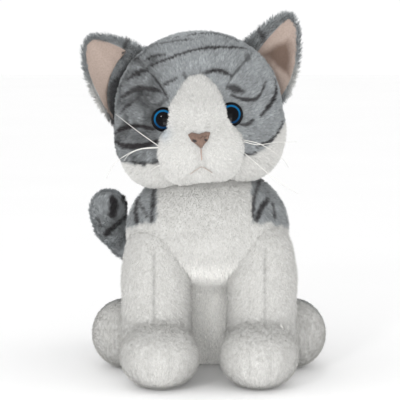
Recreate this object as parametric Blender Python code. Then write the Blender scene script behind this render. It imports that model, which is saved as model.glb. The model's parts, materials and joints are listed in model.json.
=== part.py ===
"""A sitting plush kitten: fabric skins over stuffing, with safety eyes, thread and whiskers.

The kitten faces -Y and sits on the plane z = 0. The origin is the middle of the flat patch
under its rump. Shapes are worked out in millimetres from a working frame whose y = 0 is between
the shoulders; they move to the origin and become metres when a mesh is made.
Left and right are the viewer's, looking at the kitten's face: left is -X.
"""
import math

import bmesh
import bpy
import numpy as np
from mathutils import Matrix, Vector

# ---- driving dimensions, in millimetres and degrees ----
MM = 0.001
RUMP_Y = 44.0           # how far the middle of the rump lies behind the working frame's y = 0
ORIGIN = np.array([0.0, RUMP_Y, 0.0])
FABRIC = 1.5            # thickness of the plush fabric
SEAM_GAP = 0.35         # clearance on each side of a seam
FILL_GAP = 1.5          # clearance between fabric and stuffing
FLOOR = 0.0

HEAD_CENTRE = np.array([-8.0, -16.0, 200.0])
HEAD_ROLL = -4.0        # about +Y: the right side of the face stands higher
HEAD_HALF_WIDTH = 61.0
HEAD_HALF_HEIGHT = 53.0
HEAD_HALF_DEPTH = 54.0
HEAD_TURN = 25.0        # how far the head turns and nods, each way
HEAD_NOD = 10.0
HEAD_ROOM = 2.2         # clearance under the head as it turns and nods
MUZZLE = ((0, -36, -22), (30, 25, 23))     # centre and radii, in the head's own frame
CHEEK = ((30, -6, -22), (33, 38, 33))
NECK_DISH = 60.0        # radius of the hollow in the neck plug that the head nods in
NECK_RADIUS = 19.0
NECK_BOTTOM = 120.0
NECK_ROOM_TOP = 160.0
PLUG_ROOM = 1.2         # clearance round the neck plug and the pellet bag

CHEST = ((0, -12, 114), (58, 42, 44))
RUMP = ((0, RUMP_Y, 45), (61, 51, 57))
BELLY = ((0, 28, 84), (50, 34, 50))
TRUNK_BLEND = 7.0
SIDE_SEAM = 39.0        # degrees round the trunk, from the front
BACK_SEAM = 129.0
BAG_CENTRE = np.array([0.0, RUMP_Y, 13.0])
BAG_RADII = np.array([23.0, 20.0, 12.0])
LEG_BAY = ((-80, -90, -20), (80, -9, 90))  # the front of the trunk stays out of this block

SHOULDER = np.array([39.5, -32.0, 98.0])
SHOULDER_BALL = 21.0
SHOULDER_SOCKET = 24.6
LEG_X = 39.0
LEG_WAIST = ((LEG_X, -34, 74), (22.0, 19.5, 14))
LEG_SHANK = ((LEG_X, -38, 40), (26.5, 23, 45))
PAW = ((36.0, -66, 22), (29.5, 35, 24.5))
TOE_STITCH_OFFSET = 8.5
TOE_STITCH_HEIGHTS = (33.0, 27.0, 20.0, 13.0)
THREAD_RADIUS = 0.5
THREAD_LIFT = 1.2       # how far a thread's middle stands off the fabric

TOE = np.array([65.0, 8.0, 26.0])
HEEL = np.array([50.0, 50.0, 27.0])
HIP_BALL = 25.0
TOE_RADII = (25.0, 27.0, 26.5)
FOOT_RADII = (24.0, 28.0, 25.0)
SOLE_HALF_ANGLE = 46.0
LIMB_BLEND = 3.0
FOOT_CLEARANCE = 1.4

TAIL_ROOT = np.array([-12.0, 70.0, 46.0])
TAIL_RADIUS = 14.0
TAIL_ROOM = 4.6         # clearance round the tail where it leaves the back
TAIL_STOPS = np.array([TAIL_ROOT, (-22, 100, 52), (-50, 104, 76), (-76, 82, 92), (-79, 62, 117)])
TAIL_OVERSHOOT = 0.8    # how far the curve's inner stops are pushed out to pass near the stops
TAIL_COLUMNS = 12
TAIL_RINGS = 8
TAIL_CAP_RINGS = 3
TAIL_ROWS = TAIL_RINGS + 2 * TAIL_CAP_RINGS - 1

EYE_RADIUS = 8.6
EYE_DOME = 5.0
EYE_SPACING = 26.6      # from the middle of the face, in the head's own frame
EYE_HEIGHT = -3.2
EYE_RIM = 1.6           # thickness of the eye's flange
SHANK_RADIUS = 2.2
SHANK_LENGTH = 10.0
SHANK_ROOM = 0.4
WASHER_RADIUS = 6.0
WASHER_NEAR = -3.2      # the washer's two faces, along the shank
WASHER_FAR = -4.6
WASHER_ROOM = 1.0

EAR_OUTER_EDGE = ((67, -6), (92, 36), (76, 62))    # base, bend and tip, in the head's own frame
EAR_INNER_EDGE = ((37, 48), (56, 56), (76, 62))
EAR_BASE_Y = 4.0
EAR_CUP = 13.0          # how far the middle of the ear bows back
EAR_BASE_BOW = 9.0      # how far the base bows away from the head
EAR_BACK = (0.0, 2.6)   # depths of the two layers
EAR_LINING = (-3.4, -1.6)
EAR_LINING_MARGIN = 0.08

WHISKER_RADIUS = 0.4

WHITE = (0.83, 0.83, 0.80)
GREY = (0.30, 0.33, 0.35)
STRIPE_GREY = (0.25, 0.27, 0.29)
PINK = (0.62, 0.44, 0.38)
FILL = (0.90, 0.89, 0.86)
THREAD = (0.26, 0.15, 0.12)


# ---- scene and materials ----
def clear_scene():
    """Remove whatever the file opened with."""
    for item in list(bpy.data.objects):
        bpy.data.objects.remove(item, do_unlink=True)


def principled(name, colour, roughness, metallic=0.0):
    """A plain Principled material, made once for each name."""
    material = bpy.data.materials.get(name)
    if material is None:
        material = bpy.data.materials.new(name)
        material.use_nodes = True
        shader = material.node_tree.nodes["Principled BSDF"]
        shader.inputs["Base Color"].default_value = (*colour, 1.0)
        shader.inputs["Roughness"].default_value = roughness
        shader.inputs["Metallic"].default_value = metallic
    return material


def stuffing_material():
    """Loose polyester fibre."""
    return principled("stuffing", FILL, 0.95)


def add_object(name, points, faces, material, smooth=True):
    """Make one closed body from points in millimetres, with its faces pointing out."""
    mesh = bpy.data.meshes.new(name)
    mesh.from_pydata([tuple(p) for p in (np.asarray(points) - ORIGIN) * MM], [], faces)
    form = bmesh.new()
    form.from_mesh(mesh)
    bmesh.ops.recalc_face_normals(form, faces=form.faces)
    if form.calc_volume(signed=True) < 0:
        bmesh.ops.reverse_faces(form, faces=form.faces)
    form.to_mesh(mesh)
    form.free()
    if smooth:
        mesh.shade_smooth()
        mesh.set_sharp_from_angle(angle=math.radians(50))
    mesh.materials.append(material)
    item = bpy.data.objects.new(name, mesh)
    bpy.context.collection.objects.link(item)
    return item


def cut(item, cutters, solver="EXACT"):
    """Subtract each cutter. The manifold solver is for where the exact one comes out empty."""
    for cutter in cutters:
        modifier = item.modifiers.new("cut " + cutter.name, "BOOLEAN")
        modifier.operation = "DIFFERENCE"
        modifier.solver = solver
        modifier.object = cutter


def as_cutter(item):
    """Mark an object as a cutter, which is a guide and not a piece."""
    item.hide_render = True
    item.display_type = "WIRE"
    return item


def set_pivot(items, pivot):
    """Put the origin of each object at its joint without moving its shape."""
    place = Vector((np.asarray(pivot) - ORIGIN) * MM)
    for item in items:
        item.data.transform(Matrix.Translation(-place))
        item.location = place


# ---- forms: rounded unions of ellipsoids, found along rays ----
def ellipsoid(centre, radii):
    """One ellipsoid of a form."""
    return np.array(centre, float), np.array(radii, float)


def mirrored(point, side):
    """The point on the right for side 1 and its mirror image on the left for side -1."""
    return np.array(point, float) * np.array([side, 1, 1])


def depth_in(points, blobs, blend):
    """Signed distance to a rounded union of ellipsoids, negative inside."""
    total = np.zeros(points.shape[:-1])
    for centre, radii in blobs:
        offset = points - centre
        reach = np.linalg.norm(offset / radii, axis=-1)
        slope = np.linalg.norm(offset / radii**2, axis=-1) + 1e-9
        total += np.exp(-reach * (reach - 1.0) / slope / blend)
    return -blend * np.log(total + 1e-300)


def surface_points(origins, directions, blobs, blend=5.0, inset=0.0, floor=None, reach=130.0):
    """Where each ray leaves the form, moved in by inset and kept above the floor."""
    steps = np.linspace(reach, 0.0, 131)
    low = np.zeros(len(origins))
    high = np.full(len(origins), reach)
    found = np.zeros(len(origins), bool)
    for outer, inner in zip(steps[:-1], steps[1:]):
        inside = depth_in(origins + directions * inner, blobs, blend) + inset < 0
        fresh = inside & ~found
        low[fresh] = inner
        high[fresh] = outer
        found |= inside
    for _ in range(24):
        middle = (low + high) / 2
        inside = depth_in(origins + directions * middle[:, None], blobs, blend) + inset < 0
        low = np.where(inside, middle, low)
        high = np.where(inside, high, middle)
    length = (low + high) / 2
    if floor is not None:
        fall = np.where(directions[:, 2] < -1e-6, -directions[:, 2], 1e-6)
        length = np.minimum(length, (origins[:, 2] - floor - inset) / fall)
    return origins + directions * length[:, None]


def axes_across(axis):
    """A unit axis and two unit directions across it: one sideways, and one up, or ahead of Z."""
    axis = np.asarray(axis, float) / np.linalg.norm(axis)
    helper = np.array([0.0, 0.0, 1.0]) if abs(axis[2]) < 0.9 else np.array([0.0, -1.0, 0.0])
    across = np.cross(axis, helper)
    across /= np.linalg.norm(across)
    return axis, across, np.cross(across, axis)


def ray_cage(start, end, axis, columns, cap_rings, side_rings):
    """Rays for an upright or lying form: a fan round start, a barrel, and a fan round end.

    Row 0 is the single ray against the axis, the last row the single ray along it.
    """
    axis, across, upward = axes_across(axis)
    rows = [(0.0, math.pi / 2 * k / cap_rings) for k in range(1, cap_rings + 1)]
    rows += [(k / side_rings, math.pi / 2) for k in range(1, side_rings + 1)] if side_rings else []
    rows += [(1.0, math.pi / 2 * (1 + k / cap_rings)) for k in range(1, cap_rings)]
    origins, directions = [np.asarray(start, float)], [-axis]
    for along, angle in rows:
        for column in range(columns):
            turn = 2 * math.pi * column / columns
            spoke = math.cos(turn) * upward + math.sin(turn) * across
            origins.append(start + (np.asarray(end) - start) * along)
            directions.append(-math.cos(angle) * axis + math.sin(angle) * spoke)
    origins.append(np.asarray(end, float))
    directions.append(axis)
    return np.array(origins), np.array(directions), len(rows)


def cage_faces(rows, columns):
    """Triangles of a ray cage, listed with the row and column that they fill.

    Every layer of a form is split along the same diagonals, so its layers never cross.
    """
    last = 1 + rows * columns
    faces = []
    for column in range(columns):
        after = (column + 1) % columns
        faces.append((0, column, (0, 1 + column, 1 + after)))
        for row in range(1, rows):
            near = 1 + (row - 1) * columns
            far = 1 + row * columns
            faces.append((row, column, (near + column, far + column, far + after)))
            faces.append((row, column, (near + column, far + after, near + after)))
        rim = 1 + (rows - 1) * columns
        faces.append((rows, column, (rim + column, last, rim + after)))
    return faces


def closed_faces(rows, columns):
    """All the triangles of a ray cage."""
    return [face for _, _, face in cage_faces(rows, columns)]


def rim_edges(faces):
    """The edges that only one face uses, each with that face's number."""
    uses = {}
    for number, face in enumerate(faces):
        for a, b in zip(face, face[1:] + face[:1]):
            uses.setdefault(frozenset((a, b)), []).append((number, a, b))
    return [found[0] for found in uses.values() if len(found) == 1]


def thickened(faces, rim, count):
    """Faces of a sheet, of its back, which has the next points in the same order, and its rim."""
    solid = list(faces)
    solid += [tuple(count + index for index in reversed(face)) for face in faces]
    return solid + [(b, a, count + a, count + b) for _, a, b in rim]


def patch(name, outer, inner, faces, material):
    """A fabric panel: the chosen faces of a form, thickened inwards, pulled in along its seams."""
    used = sorted({index for face in faces for index in face})
    renumber = {index: place for place, index in enumerate(used)}
    tops = [tuple(renumber[index] for index in face) for face in faces]
    rim = rim_edges(tops)
    skin = outer[used].copy()
    back = inner[used].copy()
    pull = np.zeros_like(skin)
    for number, a, b in rim:
        middle = skin[list(tops[number])].mean(axis=0)
        seam = skin[b] - skin[a]
        inward = middle - skin[a]
        inward -= seam * inward.dot(seam) / seam.dot(seam)
        inward /= np.linalg.norm(inward)
        pull[a] += inward
        pull[b] += inward
    lengths = np.linalg.norm(pull, axis=1)
    on_rim = lengths > 0
    longest = 1.9  # the two pulls of a corner point add up to at most about this
    pull[on_rim] *= (SEAM_GAP / np.minimum(lengths[on_rim], longest))[:, None]
    solid = thickened(tops, rim, len(used))
    return add_object(name, np.vstack([skin + pull, back + pull]), solid, material)


class Form:
    """A soft part: its outer surface, the inside of its fabric, and its stuffing."""

    def __init__(self, blobs, cage, blend=5.0, floor=None, place=None):
        self.origins, self.directions, self.rows = cage
        self.columns = (len(self.origins) - 2) // self.rows
        self.blobs, self.blend, self.floor = blobs, blend, floor
        self.place = place if place is not None else (lambda points: points)
        self.outer = self.at(0.0)
        self.inner = self.at(FABRIC)
        self.faces = cage_faces(self.rows, self.columns)

    def at(self, inset):
        """Surface points at a depth below the outside."""
        points = surface_points(
            self.origins, self.directions, self.blobs, self.blend, inset, self.floor
        )
        return self.place(points)

    def panel(self, name, chosen, material):
        """The panel whose faces satisfy chosen(row, column)."""
        faces = [face for row, column, face in self.faces if chosen(row, column)]
        return patch(name, self.outer, self.inner, faces, material)

    def stuffing(self, name):
        """The filling, a little smaller than the inside of the fabric."""
        points = self.at(FABRIC + FILL_GAP)
        faces = closed_faces(self.rows, self.columns)
        return add_object(name, points, faces, stuffing_material())


def ball(name, centre, radius, columns=16, rows=8):
    """A round cutter or bead."""
    cage = ray_cage(np.array(centre), np.array(centre), (0, 0, -1), columns, rows // 2, 0)
    points = cage[0] + cage[1] * radius
    faces = closed_faces(cage[2], columns)
    return add_object(name, points, faces, stuffing_material())


def turned(name, centre, axis, profile, sides, material):
    """A turned solid from (distance along the axis, radius) pairs that start and end at radius 0."""
    axis, across, upward = axes_across(axis)
    points = [centre + axis * profile[0][0]]
    for along, radius in profile[1:-1]:
        for side in range(sides):
            turn = 2 * math.pi * side / sides
            spoke = math.cos(turn) * upward + math.sin(turn) * across
            points.append(centre + axis * along + spoke * radius)
    points.append(centre + axis * profile[-1][0])
    faces = closed_faces(len(profile) - 2, sides)
    return add_object(name, points, faces, material)


def tube(name, route, radius, sides, material, taper=1.0):
    """A thread or bristle along a route, closed at both ends."""
    route = [np.asarray(point, float) for point in route]
    points = []
    for number, point in enumerate(route):
        ahead = route[min(number + 1, len(route) - 1)] - route[max(number - 1, 0)]
        ahead /= np.linalg.norm(ahead)
        across = np.cross(ahead, (0.0, 0.3, 1.0))
        across /= np.linalg.norm(across)
        upward = np.cross(across, ahead)
        size = radius * (1 + (taper - 1) * number / (len(route) - 1))
        for side in range(sides):
            turn = 2 * math.pi * side / sides
            points.append(point + (across * math.cos(turn) + upward * math.sin(turn)) * size)
    faces = [tuple(reversed(range(sides)))]
    for number in range(len(route) - 1):
        for side in range(sides):
            after = (side + 1) % sides
            near, far = number * sides, (number + 1) * sides
            faces.append((near + side, near + after, far + after, far + side))
    faces.append(tuple(range((len(route) - 1) * sides, len(route) * sides)))
    return add_object(name, points, faces, material)


# ---- the head ----
def head_to_world(points):
    """Turn points of the head's own frame about the kitten's nose axis and place them."""
    roll = math.radians(HEAD_ROLL)
    turn = np.array([
        [math.cos(roll), 0.0, math.sin(roll)],
        [0.0, 1.0, 0.0],
        [-math.sin(roll), 0.0, math.cos(roll)],
    ])
    return np.asarray(points) @ turn.T + HEAD_CENTRE


def head_blobs():
    """Skull, two full cheeks, a round muzzle and a small chin."""
    skull = (HEAD_HALF_WIDTH, HEAD_HALF_DEPTH, HEAD_HALF_HEIGHT)
    blobs = [ellipsoid((0, 4, 4), skull), ellipsoid(*MUZZLE)]
    for side in (-1, 1):
        blobs.append(ellipsoid(mirrored(CHEEK[0], side), CHEEK[1]))
    return blobs


def on_head(x, z, lift=0.0):
    """A point of the face in the head's own frame, lifted off the fabric."""
    origin = np.array([[x, 0.0, z]])
    return surface_points(origin, np.array([[0.0, -1.0, 0.0]]), head_blobs(), inset=-lift)[0]


def face_normal(x, z):
    """The outward direction of the face at a point, in the head's own frame."""
    step = 2.0
    centre = on_head(x, z)
    along = on_head(x + step, z) - centre
    above = on_head(x, z + step) - centre
    normal = np.cross(along, above)
    return normal / np.linalg.norm(normal)


def direction_to_world(direction):
    """Turn a direction of the head's own frame."""
    return head_to_world(np.asarray(direction)) - HEAD_CENTRE


def make_head_skins(form):
    """Nine panels, sewn edge to edge. Rows run from ear to ear, columns round the head."""
    white = principled("white plush", WHITE, 0.95)
    grey = principled("grey plush", GREY, 0.95)
    columns, rows = form.columns, form.rows
    middle = rows / 2

    def turn_of(column):
        """Degrees above the nose line: 0 in front, 90 at the crown, 180 behind, 270 below."""
        return (90.0 - 360.0 * (column + 0.5) / columns) % 360.0

    def is_centre(row, column):
        """The strip along the middle of the head, twice as wide at the muzzle and chin."""
        return abs(row - middle) < (2 if turn_of(column) > 255 and turn_of(column) < 345 else 1)

    def strip(low, high):
        return lambda row, column: is_centre(row, column) and low < turn_of(column) < high

    def flap(side, white_part):
        return lambda row, column: (
            not is_centre(row, column) and (row - middle) * side > 0
            and (190 < turn_of(column) < 345) == white_part)

    panels = {
        "forehead_blaze": (white, strip(-1, 60)),
        "muzzle_panel": (white, strip(300, 361)),
        "chin_panel": (white, strip(255, 300)),
        "crown_panel": (grey, strip(60, 150)),
        "nape_panel": (grey, strip(150, 255)),
    }
    for side, name in ((-1, "left"), (1, "right")):
        panels["face_side_" + name] = (grey, flap(side, False))
        panels["cheek_" + name] = (white, flap(side, True))
    return [form.panel(name, chosen, material) for name, (material, chosen) in panels.items()]


def make_eyes(skins, stuffing):
    """Safety eyes: a domed plastic eye whose shank goes through the fabric, and its washer."""
    plastic = principled("eye plastic", (0.02, 0.10, 0.25), 0.08)
    nylon = principled("washer nylon", (0.75, 0.75, 0.72), 0.4)
    pieces = []
    for side, name in ((-1, "left"), (1, "right")):
        seat = head_to_world(on_head(side * EYE_SPACING, EYE_HEIGHT))
        out = direction_to_world(face_normal(side * EYE_SPACING, EYE_HEIGHT))
        profile = [(-SHANK_LENGTH, 0), (-SHANK_LENGTH, SHANK_RADIUS), (EYE_RIM, SHANK_RADIUS)]
        profile += [(EYE_RIM, EYE_RADIUS)]
        for step in range(1, 4):
            angle = math.pi / 2 * step / 4
            profile.append((EYE_RIM + EYE_DOME * math.sin(angle), EYE_RADIUS * math.cos(angle)))
        profile.append((EYE_RIM + EYE_DOME, 0))
        pieces.append(turned("eye_" + name, seat, out, profile, 16, plastic))
        hole = SHANK_RADIUS + SHANK_ROOM
        washer = [(WASHER_FAR, hole), (WASHER_NEAR, hole), (WASHER_NEAR, WASHER_RADIUS),
                  (WASHER_FAR, WASHER_RADIUS)]
        pieces.append(ring("eye_washer_" + name, seat, out, washer, 16, nylon))
        deep = -SHANK_LENGTH - WASHER_ROOM
        high = EYE_RIM - 0.1
        drill = [(deep, 0), (deep, hole), (high, hole), (high, 0)]
        through = as_cutter(turned("shank_hole_" + name, seat, out, drill, 12, nylon))
        wide = WASHER_RADIUS + WASHER_ROOM
        floor = WASHER_FAR - 1.4
        pocket = [(deep, 0), (deep, hole), (floor, hole), (floor, wide), (high, wide), (high, 0)]
        hollow = as_cutter(turned("washer_pocket_" + name, seat, out, pocket, 16, nylon))
        cut(stuffing, [hollow])
        for skin in skins:
            if skin.name in ("face_side_" + name, "forehead_blaze", "muzzle_panel"):
                cut(skin, [through])
    return pieces


def ring(name, centre, axis, profile, sides, material):
    """A turned ring: a closed profile of (distance along the axis, radius) pairs."""
    axis, across, upward = axes_across(axis)
    corners = len(profile)
    points = []
    for side in range(sides):
        turn = 2 * math.pi * side / sides
        spoke = math.cos(turn) * upward + math.sin(turn) * across
        points += [centre + axis * along + spoke * radius for along, radius in profile]
    faces = []
    for side in range(sides):
        near, far = side * corners, (side + 1) % sides * corners
        for corner in range(corners):
            after = (corner + 1) % corners
            faces.append((near + corner, near + after, far + after, far + corner))
    return add_object(name, points, faces, material)


def face_patch(name, outline, lift, thickness, material):
    """A flat piece of stitching that lies on the face, from its outline in the head's frame."""
    centre = np.mean(outline, axis=0)
    corners = [tuple(centre)] + [tuple(point) for point in outline]
    low = np.array([on_head(x, z, lift) for x, z in corners])
    high = np.array([on_head(x, z, lift + thickness) for x, z in corners])
    count = len(corners)
    faces = []
    for number in range(1, count):
        after = number % (count - 1) + 1
        faces.append((count, count + number, count + after))
        faces.append((0, after, number))
        faces.append((number, after, count + after, count + number))
    return add_object(name, head_to_world(np.vstack([low, high])), faces, material)


def make_face_threads():
    """The sewn nose, the thread below it and the stitched mouth."""
    thread = principled("face thread", THREAD, 0.7)
    nose = [(-7.6, -13.4), (-3.6, -13.0), (0, -14.4), (3.6, -13.0), (7.6, -13.4), (4.4, -20.5),
            (0, -25.6), (-4.4, -20.5)]
    pieces = [face_patch("nose", nose, 0.5, 1.4, thread)]
    routes = {
        "philtrum_thread": [(0.0, -27.0), (0.0, -31.0), (0.0, -35.6)],
        "mouth_thread": [(-8.2, -42.2), (-4.2, -39.6), (0.0, -37.6), (4.2, -39.6), (8.2, -42.2)],
    }
    for name, route in routes.items():
        points = [head_to_world(on_head(x, z, THREAD_LIFT)) for x, z in route]
        pieces.append(tube(name, points, THREAD_RADIUS, 6, thread))
    return pieces


def make_whiskers():
    """Stiff nylon bristles that splay from the muzzle, four on the left and three on the right."""
    nylon = principled("whisker nylon", (0.9, 0.9, 0.9), 0.35)
    # root x and z on the muzzle; how far the tip goes out, back and up; sag of the middle
    start_out = 28.0  # how strongly a bristle first heads straight out of the fabric
    splays = {
        "whisker_left_1": (-23, -30, (-42, 30, 26), 4.0),
        "whisker_left_2": (-24, -26, (-46, 22, -26), 10.0),
        "whisker_left_3": (-34, -34, (-20, 12, -8), 2.0),
        "whisker_left_4": (-20, -42, (-22, 6, -30), 2.0),
        "whisker_right_1": (25, -24, (38, 26, -18), 6.0),
        "whisker_right_2": (25, -26, (42, 22, -5), 1.0),
        "whisker_right_3": (24, -32, (42, 24, -34), 4.0),
    }
    pieces = []
    for name, (x, z, splay, arch) in splays.items():
        root = on_head(x, z, 0.9)
        out = face_normal(x, z)
        points = []
        for step in range(6):
            t = step / 5
            lift = np.array([0.0, 0.0, arch * 4 * t * (1 - t)])
            start = out * start_out * t * (1 - t)
            points.append(head_to_world(root + start + np.array(splay) * t + lift))
        pieces.append(tube(name, points, WHISKER_RADIUS, 6, nylon, taper=0.6))
    return pieces


def make_head():
    """Everything that turns with the head, apart from the ears."""
    cage = ray_cage(np.array([-14.0, 0, -4]), np.array([14.0, 0, -4]), (1, 0, 0), 24, 5, 2)
    form = Form(head_blobs(), cage, place=head_to_world)
    skins = make_head_skins(form)
    stuffing = form.stuffing("head_stuffing")
    eyes = make_eyes(skins, stuffing)
    pieces = skins + [stuffing] + eyes + make_face_threads() + make_whiskers()
    set_pivot(pieces, HEAD_CENTRE)


def head_sweep(name):
    """The space that the head passes through as it turns and nods, seen from its centre."""
    centre = np.zeros(3)
    origins, directions, rows = ray_cage(centre, centre, (0, 0, -1), 24, 6, 0)
    home = head_to_world(np.eye(3)) - HEAD_CENTRE
    reach = np.zeros(len(origins))
    for turn in np.radians((-HEAD_TURN, 0.0, HEAD_TURN)):
        for nod in np.radians((-HEAD_NOD, 0.0, HEAD_NOD)):
            about_z = np.array(Matrix.Rotation(turn, 3, "Z"))
            about_x = np.array(Matrix.Rotation(nod, 3, "X"))
            seen = directions @ about_z @ about_x @ home.T
            surface = surface_points(origins, seen, head_blobs(), inset=-HEAD_ROOM)
            reach = np.maximum(reach, np.linalg.norm(surface, axis=1))
    points = HEAD_CENTRE + directions * reach[:, None]
    return add_object(name, points, closed_faces(rows, 24), stuffing_material())


# ---- the ears ----
def quadratic(start, bend, end, t):
    """A point of a quadratic curve."""
    start, bend, end = (np.array(point, float) for point in (start, bend, end))
    return start * (1 - t)**2 + bend * 2 * t * (1 - t) + end * t**2


def ear_point(side, across, up, depth):
    """A point of a cupped ear: across from the outer edge to the inner one, up to the tip."""
    outer = quadratic(*EAR_OUTER_EDGE, up)
    inner = quadratic(*EAR_INNER_EDGE, up)
    flat = outer + (inner - outer) * across
    bow = 4 * across * (1 - across)
    away = np.array([math.cos(math.radians(30)), math.sin(math.radians(30))])
    flat = flat + away * EAR_BASE_BOW * bow * (1 - up)**2
    back = EAR_BASE_Y + EAR_CUP * bow * (1 - up)**0.6 + 3.0 * up
    return np.array([side * flat[0], back + depth, flat[1]])


def ear_layer(name, side, near, far, margin, material):
    """One fabric layer of an ear, between two depths, narrower than the ear by a margin."""
    across_steps, up_steps = 8, 6
    blunt = 0.97  # the ear stops just short of its tip, where its edges would meet
    sheets = []
    for depth in (near, far):
        sheet = []
        for row in range(up_steps + 1):
            up = (1 - margin) * row / up_steps * blunt
            for column in range(across_steps + 1):
                across = margin + (1 - 2 * margin) * column / across_steps
                sheet.append(ear_point(side, across, up, depth))
        sheets.append(head_to_world(np.array(sheet)))
    width = across_steps + 1
    faces = [
        (row * width + column, row * width + column + 1,
         (row + 1) * width + column + 1, (row + 1) * width + column)
        for row in range(up_steps) for column in range(across_steps)
    ]
    solid = thickened(faces, rim_edges(faces), len(sheets[0]))
    return add_object(name, np.vstack(sheets), solid, material)


def make_ears():
    """Two layers each: a furry back and a short-pile lining."""
    for side, name in ((-1, "left"), (1, "right")):
        grey = principled("grey plush", GREY, 0.95)
        pink = principled("ear lining", PINK, 0.9)
        back = ear_layer("ear_back_" + name, side, *EAR_BACK, 0.0, grey)
        lining = ear_layer("ear_lining_" + name, side, *EAR_LINING, EAR_LINING_MARGIN, pink)
        set_pivot([back, lining], head_to_world(ear_hinge(side)))


def ear_hinge(side):
    """The middle of the line where an ear is sewn to the head, in the head's own frame."""
    return ear_point(side, 0.5, 0.0, 0.0)


# ---- the trunk ----
def trunk_blobs():
    """Chest, belly and a broad rump."""
    return [ellipsoid(*CHEST), ellipsoid(*RUMP), ellipsoid(*BELLY)]


def make_trunk():
    """Chest, sides, back and base panels round the stuffing and a bag of pellets."""
    white = principled("white plush", WHITE, 0.95)
    striped = principled("striped plush", STRIPE_GREY, 0.95)
    cage = ray_cage(np.array([0, 4.0, 100]), np.array([0, 42.0, 40]), (0, 0, -1), 24, 5, 4)
    form = Form(trunk_blobs(), cage, blend=TRUNK_BLEND, floor=FLOOR)
    columns = form.columns
    base_row = form.rows - 3
    belly_row = 7

    def turn_of(column):
        """Degrees from the front, positive towards the right."""
        return 180.0 - (360.0 * (column + 0.5) / columns + 180.0) % 360.0

    def on_wall(row):
        return 1 < row < base_row

    rooms = trunk_cutters()
    panels = {
        "chest_panel": (white, lambda r, c: 1 < r < belly_row - 1 and abs(turn_of(c)) < SIDE_SEAM,
                        ["head_room", "shoulder_room_left", "shoulder_room_right", "leg_bay"]),
        "belly_panel": (white, lambda r, c: belly_row <= r < base_row and abs(turn_of(c)) < SIDE_SEAM,
                        ["leg_bay"]),
        "flank_right": (striped, lambda r, c: on_wall(r) and SIDE_SEAM < turn_of(c) < BACK_SEAM,
                        ["head_room", "shoulder_room_right", "leg_bay", "foot_room_right"]),
        "flank_left": (striped, lambda r, c: on_wall(r) and -BACK_SEAM < turn_of(c) < -SIDE_SEAM,
                       ["head_room", "shoulder_room_left", "leg_bay", "foot_room_left"]),
        "back_panel_right": (striped, lambda r, c: on_wall(r) and turn_of(c) > BACK_SEAM,
                             ["foot_room_right", "tail_room"]),
        "back_panel_left": (striped, lambda r, c: on_wall(r) and turn_of(c) < -BACK_SEAM,
                            ["foot_room_left", "tail_room"]),
        "base_panel": (white, lambda r, c: r >= base_row, ["foot_room_left", "foot_room_right"]),
    }
    skins = []
    for name, (material, chosen, cutters) in panels.items():
        panel = form.panel(name, chosen, material)
        cut(panel, [rooms[cutter] for cutter in cutters], "MANIFOLD")
        skins.append(panel)
    stuffing = form.stuffing("trunk_stuffing")
    cut(stuffing, list(rooms.values()), "MANIFOLD")
    bag = pellet_bag("pellet_bag", 0.0, FABRIC + FILL_GAP)
    cut(stuffing, [as_cutter(pellet_bag("pellet_room", PLUG_ROOM, -2.0)), neck_cutter()], "MANIFOLD")
    return skins + [stuffing, bag]


def trunk_cutters():
    """Room for the head, the shoulders, the front legs, the hind feet and the tail root."""
    cutters = [head_sweep("head_room")]
    cutters.append(tail_tube("tail_room", TAIL_RADIUS + TAIL_ROOM))
    for side, name in ((-1, "left"), (1, "right")):
        shoulder = mirrored(SHOULDER, side)
        cutters.append(ball("shoulder_room_" + name, shoulder, SHOULDER_SOCKET))
        foot = hind_foot_form(side)
        points = foot.at(-FOOT_CLEARANCE)
        faces = closed_faces(foot.rows, foot.columns)
        cutters.append(add_object("foot_room_" + name, points, faces, stuffing_material()))
    cutters.append(box_cutter("leg_bay", *LEG_BAY))
    return {cutter.name: as_cutter(cutter) for cutter in cutters}


def box_cutter(name, low, high):
    """A plain block between two corners."""
    corners = [(x, y, z) for z in (low[2], high[2]) for y in (low[1], high[1])
               for x in (low[0], high[0])]
    faces = [(0, 2, 3, 1), (4, 5, 7, 6), (0, 1, 5, 4), (2, 6, 7, 3), (0, 4, 6, 2), (1, 3, 7, 5)]
    return add_object(name, np.array(corners, float), faces, stuffing_material(), False)


def pellet_bag(name, grow, floor):
    """The flattened bag of pellets that weighs down the rump."""
    cage = ray_cage(BAG_CENTRE, BAG_CENTRE, (0, 0, -1), 16, 4, 0)
    blobs = [ellipsoid(BAG_CENTRE, BAG_RADII + grow)]
    points = surface_points(cage[0], cage[1], blobs, floor=floor)
    faces = closed_faces(cage[2], 16)
    return add_object(name, points, faces, principled("pellet bag", (0.8, 0.8, 0.78), 0.9))


# ---- the neck ----
def neck_profile(grow, top):
    """Profile of the neck plug about the vertical axis through the head's centre."""
    radius = NECK_RADIUS + grow
    bottom = NECK_BOTTOM - grow
    profile = [(bottom, 0), (bottom, radius)]
    if top is not None:
        return profile + [(top, radius), (top, 0)]
    for step in range(5):
        out = radius * (1 - step / 4)
        profile.append((HEAD_CENTRE[2] - math.sqrt(NECK_DISH**2 - out**2), out))
    return profile


def neck_cutter():
    """Room for the neck plug in the trunk's stuffing."""
    foot = np.array([HEAD_CENTRE[0], HEAD_CENTRE[1], 0.0])
    profile = neck_profile(PLUG_ROOM, NECK_ROOM_TOP)
    return as_cutter(turned("neck_room", foot, (0, 0, 1), profile, 24, stuffing_material()))


def make_neck():
    """The firm wad of stuffing that the head turns and nods on."""
    foot = np.array([HEAD_CENTRE[0], HEAD_CENTRE[1], 0.0])
    profile = neck_profile(0.0, None)
    plug = turned("neck_stuffing", foot, (0, 0, 1), profile, 24, stuffing_material())
    set_pivot([plug], HEAD_CENTRE)


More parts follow.
